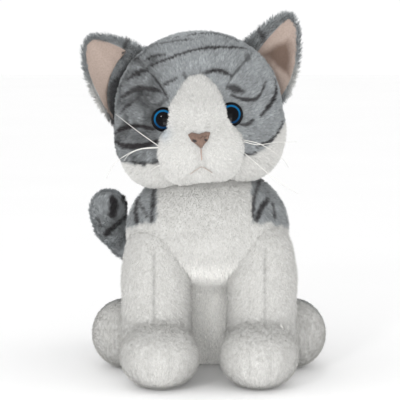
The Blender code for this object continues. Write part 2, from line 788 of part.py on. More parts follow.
# ---- the legs ----
def front_leg_form(side):
    """A straight leg with a ball for a shoulder and a forward paw."""
    blobs = [ellipsoid(mirrored(SHOULDER, side), [SHOULDER_BALL] * 3)]
    for centre, radii in (LEG_WAIST, LEG_SHANK, PAW):
        blobs.append(ellipsoid(mirrored(centre, side), radii))
    top = mirrored((LEG_X, SHOULDER[1] - 1, SHOULDER[2] - 8), side)
    bottom = mirrored((PAW[0][0] + 0.5, PAW[0][1] + 6, PAW[0][2] - 2), side)
    cage = ray_cage(top, bottom, (0, 0, -1), 16, 3, 5)
    return Form(blobs, cage, blend=LIMB_BLEND, floor=FLOOR)


def make_front_leg(side, name):
    """Outer and inner leg panels meeting in a seam down the front, a sole and the stuffing."""
    white = principled("white plush", WHITE, 0.95)
    form = front_leg_form(side)
    half = form.columns / 2
    sole_row = form.rows - 1

    def is_right(column):
        return column >= half

    pieces = [
        form.panel("leg_outer_" + name, lambda r, c: r < sole_row and is_right(c) == (side > 0), white),
        form.panel("leg_inner_" + name, lambda r, c: r < sole_row and is_right(c) != (side > 0), white),
        form.panel("paw_sole_" + name, lambda r, c: r >= sole_row, white),
        form.stuffing("leg_stuffing_" + name),
    ]
    thread = principled("toe thread", (0.7, 0.7, 0.68), 0.8)
    ahead = np.array([[0.0, -1.0, 0.0]])
    for number, offset in enumerate((-TOE_STITCH_OFFSET, TOE_STITCH_OFFSET), 1):
        route = []
        for height in TOE_STITCH_HEIGHTS:
            inside = np.array([[side * PAW[0][0] + offset, PAW[0][1], height]])
            route.append(surface_points(inside, ahead, form.blobs, form.blend, -THREAD_LIFT)[0])
        pieces.append(tube(f"toe_stitch_{name}_{number}", route, THREAD_RADIUS, 6, thread))
    set_pivot(pieces, mirrored(SHOULDER, side))


def hind_foot_form(side):
    """A fat foot that lies beside the rump and points forward and a little outward."""
    toe = mirrored(TOE, side)
    heel = mirrored(HEEL, side)
    middle = (toe + heel) / 2
    blobs = [ellipsoid(heel, [HIP_BALL] * 3), ellipsoid(toe, TOE_RADII),
             ellipsoid(middle, FOOT_RADII)]
    cage = ray_cage(heel, toe, toe - heel, 16, 4, 2)
    return Form(blobs, cage, blend=LIMB_BLEND, floor=FLOOR)


def make_hind_foot(side, name):
    """Upper and sole of a hind foot, and its stuffing."""
    white = principled("white plush", WHITE, 0.95)
    form = hind_foot_form(side)
    columns, rows = form.columns, form.rows

    def is_sole(row, column):
        turn = 360.0 * (column + 0.5) / columns
        return 1 < row < rows - 1 and abs(turn - 180) < SOLE_HALF_ANGLE

    pieces = [
        form.panel("foot_upper_" + name, lambda r, c: not is_sole(r, c), white),
        form.panel("foot_sole_" + name, is_sole, white),
        form.stuffing("foot_stuffing_" + name),
    ]
    set_pivot(pieces, mirrored(HEEL, side))


# ---- the tail ----
def tail_spine(t):
    """The middle of the tail, from its root under the back to its tip beside the shoulder."""
    stops = TAIL_STOPS
    weights = [math.comb(4, k) * t**k * (1 - t)**(4 - k) for k in range(5)]
    bends = stops.copy()
    neighbours = (stops[0:3] + stops[2:5]) / 2
    bends[1:4] = stops[1:4] + (stops[1:4] - neighbours) * TAIL_OVERSHOOT
    return np.array(weights) @ bends


def make_tail():
    """Upper and lower tail skins along a curled spine, with round ends."""
    striped = principled("striped plush", STRIPE_GREY, 0.95)
    outer, inner = tail_points(TAIL_RADIUS), tail_points(TAIL_RADIUS - FABRIC)
    half = TAIL_COLUMNS // 2
    pieces = []
    for name, low in (("tail_upper", 0), ("tail_lower", half)):
        faces = cage_faces(TAIL_ROWS, TAIL_COLUMNS)
        chosen = [face for _, column, face in faces if low <= column < low + half]
        pieces.append(patch(name, outer, inner, chosen, striped))
    pieces.append(tail_tube("tail_stuffing", TAIL_RADIUS - FABRIC - FILL_GAP))
    set_pivot(pieces, TAIL_ROOT)


def tail_tube(name, radius):
    """A closed solid along the tail's spine."""
    faces = closed_faces(TAIL_ROWS, TAIL_COLUMNS)
    return add_object(name, tail_points(radius), faces, stuffing_material())


def tail_points(radius):
    """Rings round the tail's spine, with hemispherical ends."""
    columns, side_rings, cap_rings = TAIL_COLUMNS, TAIL_RINGS, TAIL_CAP_RINGS
    rings = [(0.0, math.pi / 2 * k / cap_rings) for k in range(1, cap_rings + 1)]
    rings += [(k / side_rings, math.pi / 2) for k in range(1, side_rings + 1)]
    rings += [(1.0, math.pi / 2 * (1 + k / cap_rings)) for k in range(1, cap_rings)]
    points = []
    step = 0.01
    for along, angle in [(0.0, 0.0)] + rings + [(1.0, math.pi)]:
        centre = tail_spine(along)
        ahead = tail_spine(min(along + step, 1)) - tail_spine(max(along - step, 0))
        ahead /= np.linalg.norm(ahead)
        across = np.cross(ahead, (0.0, 0.0, 1.0))
        across /= np.linalg.norm(across)
        upward = np.cross(across, ahead)
        if math.sin(angle) < 1e-6:
            points.append(centre - math.cos(angle) * ahead * radius)
            continue
        for column in range(columns):
            turn = 2 * math.pi * column / columns
            spoke = math.cos(turn) * across + math.sin(turn) * upward
            points.append(centre + (math.sin(angle) * spoke - math.cos(angle) * ahead) * radius)
    return np.array(points)


def main():
    """Build every piece of the kitten."""
    clear_scene()
    make_head()
    make_ears()
    make_neck()
    make_trunk()
    for side, name in ((-1, "left"), (1, "right")):
        make_front_leg(side, name)
        make_hind_foot(side, name)
    make_tail()


main()
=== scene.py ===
"""The looks of a sitting plush kitten: puffed skins, a coat of cut strands, eyes, stitching, whiskers.

Everything is worked out in millimetres in the row frame (the kitten faces -Y, left is -X) and
becomes metres when a mesh is made. The forms repeat those of the CAD solids that they stand for,
hung from the record's joints, so each skin lies where its panels are.
"""
import json
import math

import bpy
import numpy as np
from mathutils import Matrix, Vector
from mathutils.bvhtree import BVHTree
from mathutils.kdtree import KDTree


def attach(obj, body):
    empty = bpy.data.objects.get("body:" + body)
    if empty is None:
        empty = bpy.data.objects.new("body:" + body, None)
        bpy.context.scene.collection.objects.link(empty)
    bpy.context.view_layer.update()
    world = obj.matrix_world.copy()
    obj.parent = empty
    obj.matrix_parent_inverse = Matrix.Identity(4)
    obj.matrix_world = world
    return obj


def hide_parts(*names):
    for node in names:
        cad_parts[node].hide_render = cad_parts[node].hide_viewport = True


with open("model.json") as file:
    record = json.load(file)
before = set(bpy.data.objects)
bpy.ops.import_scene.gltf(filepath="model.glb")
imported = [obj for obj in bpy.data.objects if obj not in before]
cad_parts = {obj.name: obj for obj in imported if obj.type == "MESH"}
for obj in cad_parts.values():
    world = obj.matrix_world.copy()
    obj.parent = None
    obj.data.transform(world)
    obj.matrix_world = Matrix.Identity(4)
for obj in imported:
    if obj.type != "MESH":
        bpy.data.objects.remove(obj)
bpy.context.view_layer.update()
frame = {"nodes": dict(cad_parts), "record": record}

# ---- driving values, in millimetres and degrees ----
MM = 0.001
SEED = 41
SIDES = ((-1, "left"), (1, "right"))
SKIN_INSET = 1.4        # the skin lies this far inside the CAD solid, and the pile fills the rest
FLOOR_GAP = 0.25
HEAD_ROLL = -4.0        # about +Y, as in the CAD
PUFF_LIMIT = 1.2        # how far the cloth simulation may move a point
BACKING_SHADE = 0.8     # how much darker the backing is than its strands
HEAD_BLEND = 5.0        # how widely the head's blobs melt together
TRUNK_BLEND = 7.0
LIMB_BLEND = 3.0
FUR_ROOT = 0.6          # no strands grow from below this height, on which the kitten sits
CLOTH_FRAMES = 20
CLOTH_EVERY = 4         # the cloth's grid takes every so many rows and columns of the skin's

PIVOTS = {
    joint["name"]: np.array(joint["pos_m"]) / MM
    for joint in frame["record"]["behaviour"]["joints"]
}
HEAD_CENTRE = PIVOTS["head_turn"]
SHOULDER = PIVOTS["front_leg_right_swing"]
HEEL = PIVOTS["hind_foot_right_splay"]
TAIL_ROOT = PIVOTS["tail_sway"]

HEAD_BLOBS = (
    ((0, 4, 4), (61, 54, 53)),
    ((0, -36, -22), (30, 25, 23)),
    ((-30, -6, -22), (33, 38, 33)),
    ((30, -6, -22), (33, 38, 33)),
)
TRUNK_BLOBS = (
    ((0, -56, 114), (58, 42, 44)),
    ((0, 0, 45), (61, 51, 57)),
    ((0, -16, 84), (50, 34, 50)),
    ((-38.5, -70, 103), (21, 22, 26)),
    ((36, -70, 98), (19.5, 22, 25)),
    ((0, -61, 100), (36, 39, 24)),
)
LEG_WAIST = ((39.5, -79, 76), (25.5, 22.5, 30))
LEG_SHANK = ((39, -82, 40), (26.5, 23, 45))
PAW = ((36, -110, 22), (29.5, 35, 24.5))
SHOULDER_BALL = 21.0
TOE = np.array([65.0, -36.0, 26.0])
TAIL_RADIUS = 14.0
TAIL_OFFSETS = ((0, 0, 0), (-10, 30, 6), (-38, 34, 30), (-64, 12, 46), (-67, -8, 71))

EYES = {-1: (-25.4, -4.1), 1: (23.2, -3.9)}     # x and z in the head's own frame
EYE_RADIUS = 9.0
EYE_SINK = 2.0          # how far the flange lies below the plush
EYE_DOME = 5.4          # height of the dome above the flange
EYE_SHANK = 3.0         # depth of the eye's back behind it
IRIS_EDGES = ((5.3, 5.6), (6.95, 6.65))         # distance from the axis: the ring fades in and out
IRIS_TOP = np.array([0.002, 0.10, 0.24])
IRIS_LOW = np.array([0.001, 0.03, 0.09])
PUPIL = np.array([0.002, 0.002, 0.003])

# ---- colours, linear ----
WHITE = np.array([0.70, 0.695, 0.675])
GREY = np.array([0.36, 0.38, 0.39])
PALE_GREY = np.array([0.50, 0.525, 0.54])
DARK = np.array([0.030, 0.026, 0.028])
PINK = np.array([0.47, 0.375, 0.325])
# painted shade of the ear linings' hollows
PINK_PAINTED_SHADE = np.array([0.17, 0.115, 0.09])
NOSE = np.array([0.23, 0.15, 0.115])


# ---- small numeric tools ----
def unit(vectors):
    """Vectors of length one, in rows."""
    vectors = np.asarray(vectors, float)
    return vectors / np.maximum(np.linalg.norm(vectors, axis=-1, keepdims=True), 1e-9)


def step_between(low, high, value):
    """A smooth step from 0 at low to 1 at high; low may be the larger."""
    t = np.clip((np.asarray(value, float) - low) / (high - low), 0.0, 1.0)
    return t * t * (3 - 2 * t)


def wobble(points, size, seed):
    """Smooth noise from -1 to 1 over points, with features of about this size."""
    rng = np.random.default_rng(SEED + seed)
    waves = rng.normal(size=(7, 3)) / size
    phases = rng.uniform(0, 2 * math.pi, 7)
    return np.sin(points @ waves.T * 2.2 + phases).mean(axis=-1) * 1.7


def smooth_route(stops, steps):
    """A Catmull-Rom curve through the stops."""
    stops = np.asarray(stops, float)
    padded = np.vstack([2 * stops[0] - stops[1], stops, 2 * stops[-1] - stops[-2]])
    route = []
    for place in np.linspace(0, len(stops) - 1, steps):
        k = min(int(place), len(stops) - 2)
        t = place - k
        a, b, c, d = padded[k:k + 4]
        route.append(0.5 * (2 * b + (c - a) * t + (2 * a - 5 * b + 4 * c - d) * t**2
                            + (3 * b - a - 3 * c + d) * t**3))
    return np.array(route)


def distance_to_route(points, route):
    """How far each point is from a polyline, and how far along it the nearest place is, 0 to 1."""
    best = np.full(len(points), 1e9)
    along = np.zeros(len(points))
    for k in range(len(route) - 1):
        seam = route[k + 1] - route[k]
        t = np.clip((points - route[k]) @ seam / (seam @ seam), 0, 1)
        distance = np.linalg.norm(points - route[k] - t[:, None] * seam, axis=1)
        nearer = distance < best
        best[nearer] = distance[nearer]
        along[nearer] = (k + t[nearer]) / (len(route) - 1)
    return best, along


def inside_outline(points, outline):
    """Signed distance of flat points to a closed outline, positive inside."""
    outline = np.asarray(outline, float)
    after = np.roll(outline, -1, axis=0)
    best = np.full(len(points), 1e9)
    crossings = np.zeros(len(points), int)
    for a, b in zip(outline, after):
        seam = b - a
        t = np.clip((points - a) @ seam / (seam @ seam), 0, 1)
        best = np.minimum(best, np.linalg.norm(points - a - t[:, None] * seam, axis=1))
        spans = (a[1] > points[:, 1]) != (b[1] > points[:, 1])
        rise = b[1] - a[1] if abs(b[1] - a[1]) > 1e-9 else 1e-9
        crossings += spans & (points[:, 0] < (b[0] - a[0]) * (points[:, 1] - a[1]) / rise + a[0])
    return np.where(crossings % 2 == 1, best, -best)


def mirrored(point, side):
    """The point on the right for side 1 and its mirror image on the left for side -1."""
    return np.asarray(point, float) * np.array([side, 1, 1])


# ---- forms ----
def depth_in(points, blobs, blend):
    """Signed distance to a rounded union of ellipsoids, negative inside."""
    total = np.zeros(points.shape[:-1])
    for centre, radii in blobs:
        offset = points - np.asarray(centre, float)
        radii = np.asarray(radii, float)
        reach = np.linalg.norm(offset / radii, axis=-1)
        slope = np.linalg.norm(offset / radii**2, axis=-1) + 1e-9
        total += np.exp(-reach * (reach - 1.0) / slope / blend)
    return -blend * np.log(total + 1e-300)


def slope_of(points, blobs, blend):
    """Outward directions of a form's distance at points."""
    step = 0.5
    slope = np.zeros_like(points)
    for axis in range(3):
        shift = np.zeros(3)
        shift[axis] = step
        slope[:, axis] = (depth_in(points + shift, blobs, blend)
                          - depth_in(points - shift, blobs, blend))
    return unit(slope)


def stained(points, routes, softness, dark):
    """Deepen dark near routes, each given with its half width and its strength."""
    for route, half, strength in routes:
        distance, _ = distance_to_route(points, route)
        dark = np.maximum(dark, strength * step_between(half + softness[0], half - softness[1],
                                                        distance + softness[2]))
    return dark


def on_form(points, blobs, blend):
    """The points moved along the slope of a form on to its skin, where patterns are laid out."""
    depth = depth_in(points, blobs, blend) + SKIN_INSET
    return points - slope_of(points, blobs, blend) * depth[:, None]


def surface_points(origins, directions, blobs, blend, inset=0.0, reach=130.0):
    """Where each ray leaves the form, moved in by inset."""
    low = np.zeros(len(origins))
    high = np.full(len(origins), reach)
    found = np.zeros(len(origins), bool)
    for inner in np.arange(reach, 0.0, -2.0):
        inside = depth_in(origins + directions * inner, blobs, blend) + inset < 0
        fresh = inside & ~found
        low[fresh] = inner
        high[fresh] = inner + 2.0
        found |= inside
    for _ in range(16):
        middle = (low + high) / 2
        inside = depth_in(origins + directions * middle[:, None], blobs, blend) + inset < 0
        low = np.where(inside, middle, low)
        high = np.where(inside, high, middle)
    return origins + directions * ((low + high) / 2)[:, None]


def axes_across(axis):
    """A unit axis and two unit directions across it."""
    axis = unit(axis)
    helper = np.array([0.0, 0.0, 1.0]) if abs(axis[2]) < 0.9 else np.array([0.0, -1.0, 0.0])
    across = unit(np.cross(axis, helper))
    return axis, across, np.cross(across, axis)


def cage_rings(cap_rings, side_rings):
    """Rings from one pole to the other: how far along the axis, and the angle from the first pole."""
    rings = [(0.0, math.pi / 2 * k / cap_rings) for k in range(1, cap_rings + 1)]
    rings += [(k / side_rings, math.pi / 2) for k in range(1, side_rings + 1)]
    return rings + [(1.0, math.pi / 2 * (1 + k / cap_rings)) for k in range(1, cap_rings)]


def ray_cage(start, end, axis, columns, cap_rings, side_rings):
    """Rays for a form: a fan round start, a barrel, a fan round end, and a pole ray at each end."""
    start, end = np.asarray(start, float), np.asarray(end, float)
    axis, across, upward = axes_across(axis)
    rings = cage_rings(cap_rings, side_rings)
    turns = 2 * math.pi * np.arange(columns)[:, None] / columns
    spokes = np.cos(turns) * upward + np.sin(turns) * across
    origins, directions = [start[None]], [-axis[None]]
    for along, angle in rings:
        origins.append(np.repeat((start + (end - start) * along)[None], columns, axis=0))
        directions.append(-math.cos(angle) * axis + math.sin(angle) * spokes)
    origins.append(end[None])
    directions.append(axis[None])
    return np.vstack(origins), np.vstack(directions), len(rings)


def grid_faces(rows, columns):
    """The faces of a surface whose points are a pole, rows of columns, and a pole."""
    last = 1 + rows * columns
    faces = []
    for column in range(columns):
        after = (column + 1) % columns
        faces.append((0, 1 + column, 1 + after))
        for row in range(1, rows):
            near, far = 1 + (row - 1) * columns, 1 + row * columns
            faces.append((near + column, far + column, far + after, near + after))
        rim = 1 + (rows - 1) * columns
        faces.append((rim + column, last, rim + after))
    return faces


def grid_bake_map(rows, columns):
    """For each face corner of grid_faces, its place on an unrolled map."""
    places = []
    for column in range(columns):
        left, right = column / columns, (column + 1) / columns
        heights = [(k + 0.5) / (rows + 1) for k in range(rows + 1)]
        places += [((left + right) / 2, 0.0), (left, heights[0]), (right, heights[0])]
        for row in range(1, rows):
            near, far = heights[row - 1], heights[row]
            places += [(left, near), (left, far), (right, far), (right, near)]
        places += [(left, heights[rows - 1]), ((left + right) / 2, 1.0), (right, heights[rows - 1])]
    return np.array(places)


# ---- meshes ----
def new_piece(name, points, faces, material, smooth=True):
    """An object from points in millimetres."""
    mesh = bpy.data.meshes.new(name)
    mesh.from_pydata([tuple(p) for p in np.asarray(points) * MM], [], faces)
    mesh.update()
    if smooth:
        mesh.shade_smooth()
    mesh.materials.append(material)
    piece = bpy.data.objects.new(name, mesh)
    bpy.context.scene.collection.objects.link(piece)
    return piece


def set_tint(mesh, colours):
    """Store a colour for each point, which the plush materials read."""
    layer = mesh.color_attributes.new("tint", "FLOAT_COLOR", "POINT")
    packed = np.ones((len(mesh.vertices), 4), np.float32)
    packed[:, :3] = colours
    layer.data.foreach_set("color", packed.ravel())


def set_bake_map(mesh, places):
    """Give the mesh the map that its colours are baked on."""
    layer = mesh.uv_layers.new(name="OFBake")
    layer.data.foreach_set("uv", np.asarray(places, np.float32).ravel())


def declare(piece, body, nodes=()):
    """Hang a piece on the body it rides on, and hide the CAD nodes that it stands for."""
    if nodes:
        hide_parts(*nodes)
    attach(piece, body)


def outward(mesh):
    """Turn the faces so that they point out."""
    points = point_places(mesh)
    mesh.calc_loop_triangles()
    corners = np.zeros(len(mesh.loop_triangles) * 3, np.int32)
    mesh.loop_triangles.foreach_get("vertices", corners)
    a, b, c = (points[corners.reshape(-1, 3)[:, k]] for k in range(3))
    if (a * np.cross(b, c)).sum() < 0:
        mesh.flip_normals()
    mesh.update()


def point_normals(mesh):
    """The mesh's outward direction at each point."""
    normals = np.zeros(len(mesh.vertices) * 3, np.float32)
    mesh.vertex_normals.foreach_get("vector", normals)
    return normals.reshape(-1, 3).astype(float)


def point_places(mesh):
    """The mesh's points, in millimetres."""
    places = np.zeros(len(mesh.vertices) * 3, np.float32)
    mesh.vertices.foreach_get("co", places)
    return places.reshape(-1, 3).astype(float) / MM


def tube_mesh(route, radii, sides=8):
    """Points and faces of a round tube with closed ends along a route."""
    route = np.asarray(route, float)
    ahead = unit(np.gradient(route, axis=0))
    across = unit(np.cross(ahead, (0.05, 0.3, 1.0)))
    upward = np.cross(across, ahead)
    radii = np.broadcast_to(radii, len(route))
    turns = 2 * math.pi * np.arange(sides) / sides
    ring = (np.cos(turns)[None, :, None] * across[:, None] + np.sin(turns)[None, :, None] * upward[:, None])
    points = (route[:, None] + ring * radii[:, None, None]).reshape(-1, 3)
    faces = [tuple(reversed(range(sides)))]
    for k in range(len(route) - 1):
        for side in range(sides):
            after = (side + 1) % sides
            near, far = k * sides, (k + 1) * sides
            faces.append((near + side, near + after, far + after, far + side))
    faces.append(tuple(range((len(route) - 1) * sides, len(route) * sides)))
    return points, faces


def joined(parts):
    """Several (points, faces) as one."""
    points, faces, count = [], [], 0
    for some_points, some_faces in parts:
        points.append(some_points)
        faces += [tuple(index + count for index in face) for face in some_faces]
        count += len(some_points)
    return np.vstack(points), faces


# ---- materials ----
class Nodes:
    """A material's node tree, with short ways to add to it."""

    def __init__(self, name):
        self.material = bpy.data.materials.new(name)
        self.material.use_nodes = True
        self.tree = self.material.node_tree
        self.shader = self.tree.nodes["Principled BSDF"]

    def add(self, kind, **settings):
        """A node, with its own settings by name and its inputs by name or number."""
        node = self.tree.nodes.new(kind)
        for key, value in settings.pop("inputs", {}).items():
            self.put(node.inputs[key], value)
        for key, value in settings.items():
            setattr(node, key, value)
        return node

    def put(self, socket, value):
        """Link an output to the socket, or set its value."""
        if isinstance(value, bpy.types.NodeSocket):
            self.tree.links.new(value, socket)
        elif isinstance(value, (tuple, list, np.ndarray)) and len(value) == 3 and socket.type == "RGBA":
            socket.default_value = (*value, 1.0)
        else:
            socket.default_value = value

    def noise(self, scale, detail=2.0, stretch=(1, 1, 1)):
        """Noise over the object's own coordinates, in metres."""
        place = self.add("ShaderNodeTexCoord").outputs["Object"]
        sized = self.add("ShaderNodeMapping", inputs={0: place, "Scale": stretch}).outputs[0]
        return self.add("ShaderNodeTexNoise", inputs={
            "Vector": sized, "Scale": scale, "Detail": detail}).outputs["Fac"]

    def span(self, value, low, high, to_low, to_high):
        """The value, spread from one range to another."""
        return self.add("ShaderNodeMapRange", inputs={
            "Value": value, "From Min": low, "From Max": high,
            "To Min": to_low, "To Max": to_high}).outputs["Result"]

    def scaled(self, colour, factor):
        """A colour made lighter or darker."""
        node = self.add("ShaderNodeMix", data_type="RGBA", blend_type="MULTIPLY")
        self.put(node.inputs[0], 1.0)
        self.put(node.inputs[6], colour)
        self.put(node.inputs[7], factor)
        return node.outputs[2]

    def mixed(self, factor, one, other):
        """Between two colours."""
        node = self.add("ShaderNodeMix", data_type="RGBA")
        self.put(node.inputs[0], factor)
        self.put(node.inputs[6], one)
        self.put(node.inputs[7], other)
        return node.outputs[2]

    def bump(self, height, strength, distance):
        """Relief on the shader's normal."""
        node = self.add("ShaderNodeBump", inputs={
            "Height": height, "Strength": strength, "Distance": distance})
        self.put(self.shader.inputs["Normal"], node.outputs[0])

    def set(self, **values):
        """Set the shader's own sockets; an underscore stands for a space."""
        for key, value in values.items():
            self.put(self.shader.inputs[key.replace("_", " ")], value)
        return self.material


def tinted(nodes, scale, low, high):
    """The stored tint, mottled by noise."""
    tint = nodes.add("ShaderNodeAttribute", attribute_name="tint").outputs["Color"]
    return nodes.scaled(tint, nodes.span(nodes.noise(scale, 3.0), 0.3, 0.7, low, high))


def skin_material():
    """The knitted backing of the plush, seen between the strands."""
    nodes = Nodes("plush backing")
    nodes.bump(nodes.noise(1400.0, 3.0), 0.5, 0.0006)
    return nodes.set(Base_Color=tinted(nodes, 500.0, 0.88, 1.04), Roughness=0.95,
                     Sheen_Weight=0.3, Sheen_Roughness=0.5, Specular_IOR_Level=0.15)


def fur_material():
    """Cut polyester strands: matt, with a soft sheen, each a little lighter or darker."""
    nodes = Nodes("plush strands")
    return nodes.set(Base_Color=tinted(nodes, 700.0, 0.86, 1.1), Roughness=0.8,
                     Sheen_Weight=0.25, Sheen_Roughness=0.4, Specular_IOR_Level=0.2)


def lining_material():
    """Short velour inside the ears."""
    nodes = Nodes("ear velour")
    nodes.bump(nodes.noise(2600.0, 2.0), 0.6, 0.0004)
    return nodes.set(Base_Color=tinted(nodes, 900.0, 0.9, 1.08), Roughness=0.9,
                     Sheen_Weight=0.4, Sheen_Roughness=0.35, Specular_IOR_Level=0.2)


def thread_material(name, colour, shade):
    """Twisted embroidery thread."""
    nodes = Nodes(name)
    fine = nodes.noise(1500.0, 2.0, (1, 1, 0.25))
    nodes.bump(fine, 0.5, 0.0002)
    return nodes.set(Base_Color=nodes.mixed(nodes.span(fine, 0.35, 0.65, 0, 1), shade, colour),
                     Roughness=0.55, Sheen_Weight=0.15, Specular_IOR_Level=0.35)


def eye_material():
    """Gloss plastic with the tint of its rings."""
    nodes = Nodes("eye plastic")
    tint = nodes.add("ShaderNodeAttribute", attribute_name="tint").outputs["Color"]
    colour = nodes.scaled(tint, nodes.span(nodes.noise(900.0, 3.0), 0.3, 0.7, 0.8, 1.15))
    rough = nodes.span(nodes.noise(300.0, 2.0), 0.3, 0.7, 0.04, 0.07)
    return nodes.set(Base_Color=colour, Roughness=rough, Specular_IOR_Level=0.09)


def bristle_material():
    """Pale nylon bristle."""
    nodes = Nodes("whisker nylon")
    shade = nodes.span(nodes.noise(400.0, 2.0), 0.3, 0.7, 0.0, 1.0)
    colour = nodes.mixed(shade, (0.66, 0.65, 0.62), (0.76, 0.75, 0.72))
    return nodes.set(Base_Color=colour, Roughness=0.35, Specular_IOR_Level=0.5)


def fibre_material(name, colour, scale):
    """Loose fibre or plain cloth of the pieces inside."""
    nodes = Nodes(name)
    height = nodes.noise(scale, 6.0)
    nodes.bump(height, 0.8, 0.002)
    shade = tuple(part * 0.8 for part in colour)
    return nodes.set(Base_Color=nodes.mixed(nodes.span(height, 0.3, 0.7, 0, 1), shade, colour),
                     Roughness=0.95, Sheen_Weight=0.3)


# ---- the strands of the coat ----
class Coat:
    """How one stretch of pile is cut and combed, and how it gathers in tufts."""

    def __init__(self, length, density, width=0.34, tilt=46.0, ruffle=14.0, tuft=2.2, gather=0.55):
        self.length, self.density, self.width = length, density, width
        self.tilt, self.ruffle = tilt, ruffle
        self.tuft, self.gather = tuft, gather


def nearest(points, centres):
    """The number of the centre nearest to each point."""
    tree = KDTree(len(centres))
    for number, centre in enumerate(centres):
        tree.insert(centre, number)
    tree.balance()
    return np.array([tree.find(point)[1] for point in points])


def sampled(mesh, density, rng):
    """Random places on a mesh: points in millimetres and outward directions."""
    mesh.calc_loop_triangles()
    corners = np.zeros(len(mesh.loop_triangles) * 3, np.int32)
    mesh.loop_triangles.foreach_get("vertices", corners)
    corners = corners.reshape(-1, 3)
    points, normals = point_places(mesh), point_normals(mesh)
    a, b, c = (points[corners[:, k]] for k in range(3))
    areas = np.linalg.norm(np.cross(b - a, c - a), axis=1) / 2
    count = int(areas.sum() * density)
    chosen = np.sort(rng.choice(len(corners), size=count, p=areas / areas.sum()))
    u, v = rng.uniform(size=count), rng.uniform(size=count)
    folded = u + v > 1
    u[folded], v[folded] = 1 - u[folded], 1 - v[folded]
    weights = np.stack([1 - u - v, u, v], axis=1)[:, :, None]
    roots = (points[corners[chosen]] * weights).sum(axis=1)
    return roots, unit((normals[corners[chosen]] * weights).sum(axis=1))


def tufts(roots, tips, coat, gather, rng):
    """How far each tip is drawn to the middle of its tuft, and how light the tuft is."""
    count = max(int(len(roots) / (coat.density * coat.tuft**2)), 1)
    leaders = rng.choice(len(roots), size=count, replace=False)
    chosen = nearest(roots, roots[leaders])
    drawn = (tips[leaders][chosen] - tips) * gather
    reach = np.linalg.norm(drawn, axis=1, keepdims=True)
    drawn *= np.minimum(1.0, coat.tuft * 0.7 / np.maximum(reach, 1e-6))
    return drawn, rng.normal(1.0, 1.0, count)[chosen] - 1.0


def strands(name, roots, normals, comb, lengths, coat, paint, gather, rng):
    """A mesh of tapered strands, a quad and a triangle each, coloured by where they are seen."""
    count = len(roots)
    ahead = unit(comb - normals * (comb * normals).sum(axis=1, keepdims=True))
    tilt = np.radians(coat.tilt + rng.normal(0, coat.ruffle * 0.6, count))[:, None]
    stray = rng.normal(0, math.radians(coat.ruffle), (count, 1))
    side = np.cross(normals, ahead)
    lean = unit(ahead + side * stray)
    start = normals * np.cos(tilt) + lean * np.sin(tilt)
    finish = normals * np.cos(tilt * 1.25) + lean * np.sin(tilt * 1.25)
    width_way = unit(np.cross(start, normals) + normals * rng.normal(0, 0.25, (count, 1)))
    size = (lengths * rng.uniform(0.7, 1.12, count))[:, None]
    half = coat.width * rng.uniform(0.75, 1.25, (count, 1)) / 2
    base = roots - start * 0.3
    middle = base + start * size * 0.55
    tip = middle + finish * size * 0.5
    gathered, shade = tufts(roots, tip, coat, gather, rng)
    tip = tip + gathered
    middle = middle + gathered * 0.4
    corners = np.stack([base - width_way * half, base + width_way * half,
                        middle + width_way * half * 0.8, middle - width_way * half * 0.8, tip], axis=1)
    corners[:, :, 2] = np.maximum(corners[:, :, 2], FLOOR_GAP)
    mesh = bpy.data.meshes.new(name)
    mesh.vertices.add(count * 5)
    mesh.vertices.foreach_set("co", (corners * MM).astype(np.float32).ravel())
    mesh.loops.add(count * 7)
    order = np.array([0, 1, 2, 3, 3, 2, 4])
    loops = (np.arange(count)[:, None] * 5 + order).astype(np.int32)
    mesh.loops.foreach_set("vertex_index", loops.ravel())
    mesh.polygons.add(count * 2)
    starts = (np.arange(count)[:, None] * 7 + np.array([0, 4])).astype(np.int32)
    mesh.polygons.foreach_set("loop_start", starts.ravel())
    mesh.update(calc_edges=True)
    mesh.shade_smooth()
    middle_colour, tip_colour = paint(middle)[0], paint(tip)[0]
    light = np.clip(middle_colour.mean(axis=1) / WHITE.mean(), 0, 1)
    loose = rng.uniform(-1, 1, count) * (0.12 - 0.10 * light)
    vary = np.clip(1 + (0.20 - 0.185 * light) * shade + loose, 0.5, 1.6)[:, None, None]
    # painted shade: each strand darkens towards its root, more in grey pile than in white, and lightens a
    # little at its tip
    painted_root_shade = (0.62 + 0.32 * light)[:, None, None]
    along = painted_root_shade + (1 - painted_root_shade) * np.array([0.0, 0.0, 0.75, 0.75, 1.15])[None, :, None]
    colours = np.stack([middle_colour] * 4 + [tip_colour], axis=1)
    set_tint(mesh, np.clip(colours * vary * along, 0, 0.97).reshape(-1, 3))
    across_map = math.ceil(math.sqrt(count))
    cell = np.stack([np.arange(count) % across_map, np.arange(count) // across_map], axis=1)
    spots = np.array([(0.2, 0.1), (0.8, 0.1), (0.7, 0.5), (0.3, 0.5), (0.5, 0.9)])
    set_bake_map(mesh, (cell[:, None] + spots[order]).reshape(-1, 2) / across_map)
    mesh.materials.append(MATERIALS["fur"])
    piece = bpy.data.objects.new(name, mesh)
    bpy.context.scene.collection.objects.link(piece)
    return piece


def grow_fur(name, skin, coat, paint, comb, keep=None, body=None, slots=None, lengthen=None, seed=0):
    """Cover a skin with strands. slots gives the words that name the piece of white strands and the piece
    of the rest.
    """
    rng = np.random.default_rng(SEED + 100 + seed)
    roots, normals = sampled(skin.data, coat.density, rng)
    if keep is not None:
        kept = keep(roots, normals)
        roots, normals = roots[kept], normals[kept]
    lengths = np.full(len(roots), coat.length)
    if lengthen is not None:
        lengths = lengths * lengthen(roots, normals)
    directions = comb(roots, normals)
    _, white = paint(roots + unit(directions) * lengths[:, None] * 0.5)
    for slot, chosen, gather in ((slots[0], white, coat.gather / 2), (slots[1], ~white, coat.gather)):
        if chosen.sum() < 20:
            continue
        piece = strands(f"{name}_{slot.split('_')[0]}", roots[chosen], normals[chosen],
                        directions[chosen], lengths[chosen], coat, paint, gather, rng)
        declare(piece, body)


def backing(name, points, faces, paint):
    """The knitted ground that the strands stand on, a little darker than they are."""
    piece = new_piece(name, points, faces, MATERIALS["skin"])
    outward(piece.data)
    set_tint(piece.data, paint(points)[0] * BACKING_SHADE)
    return piece


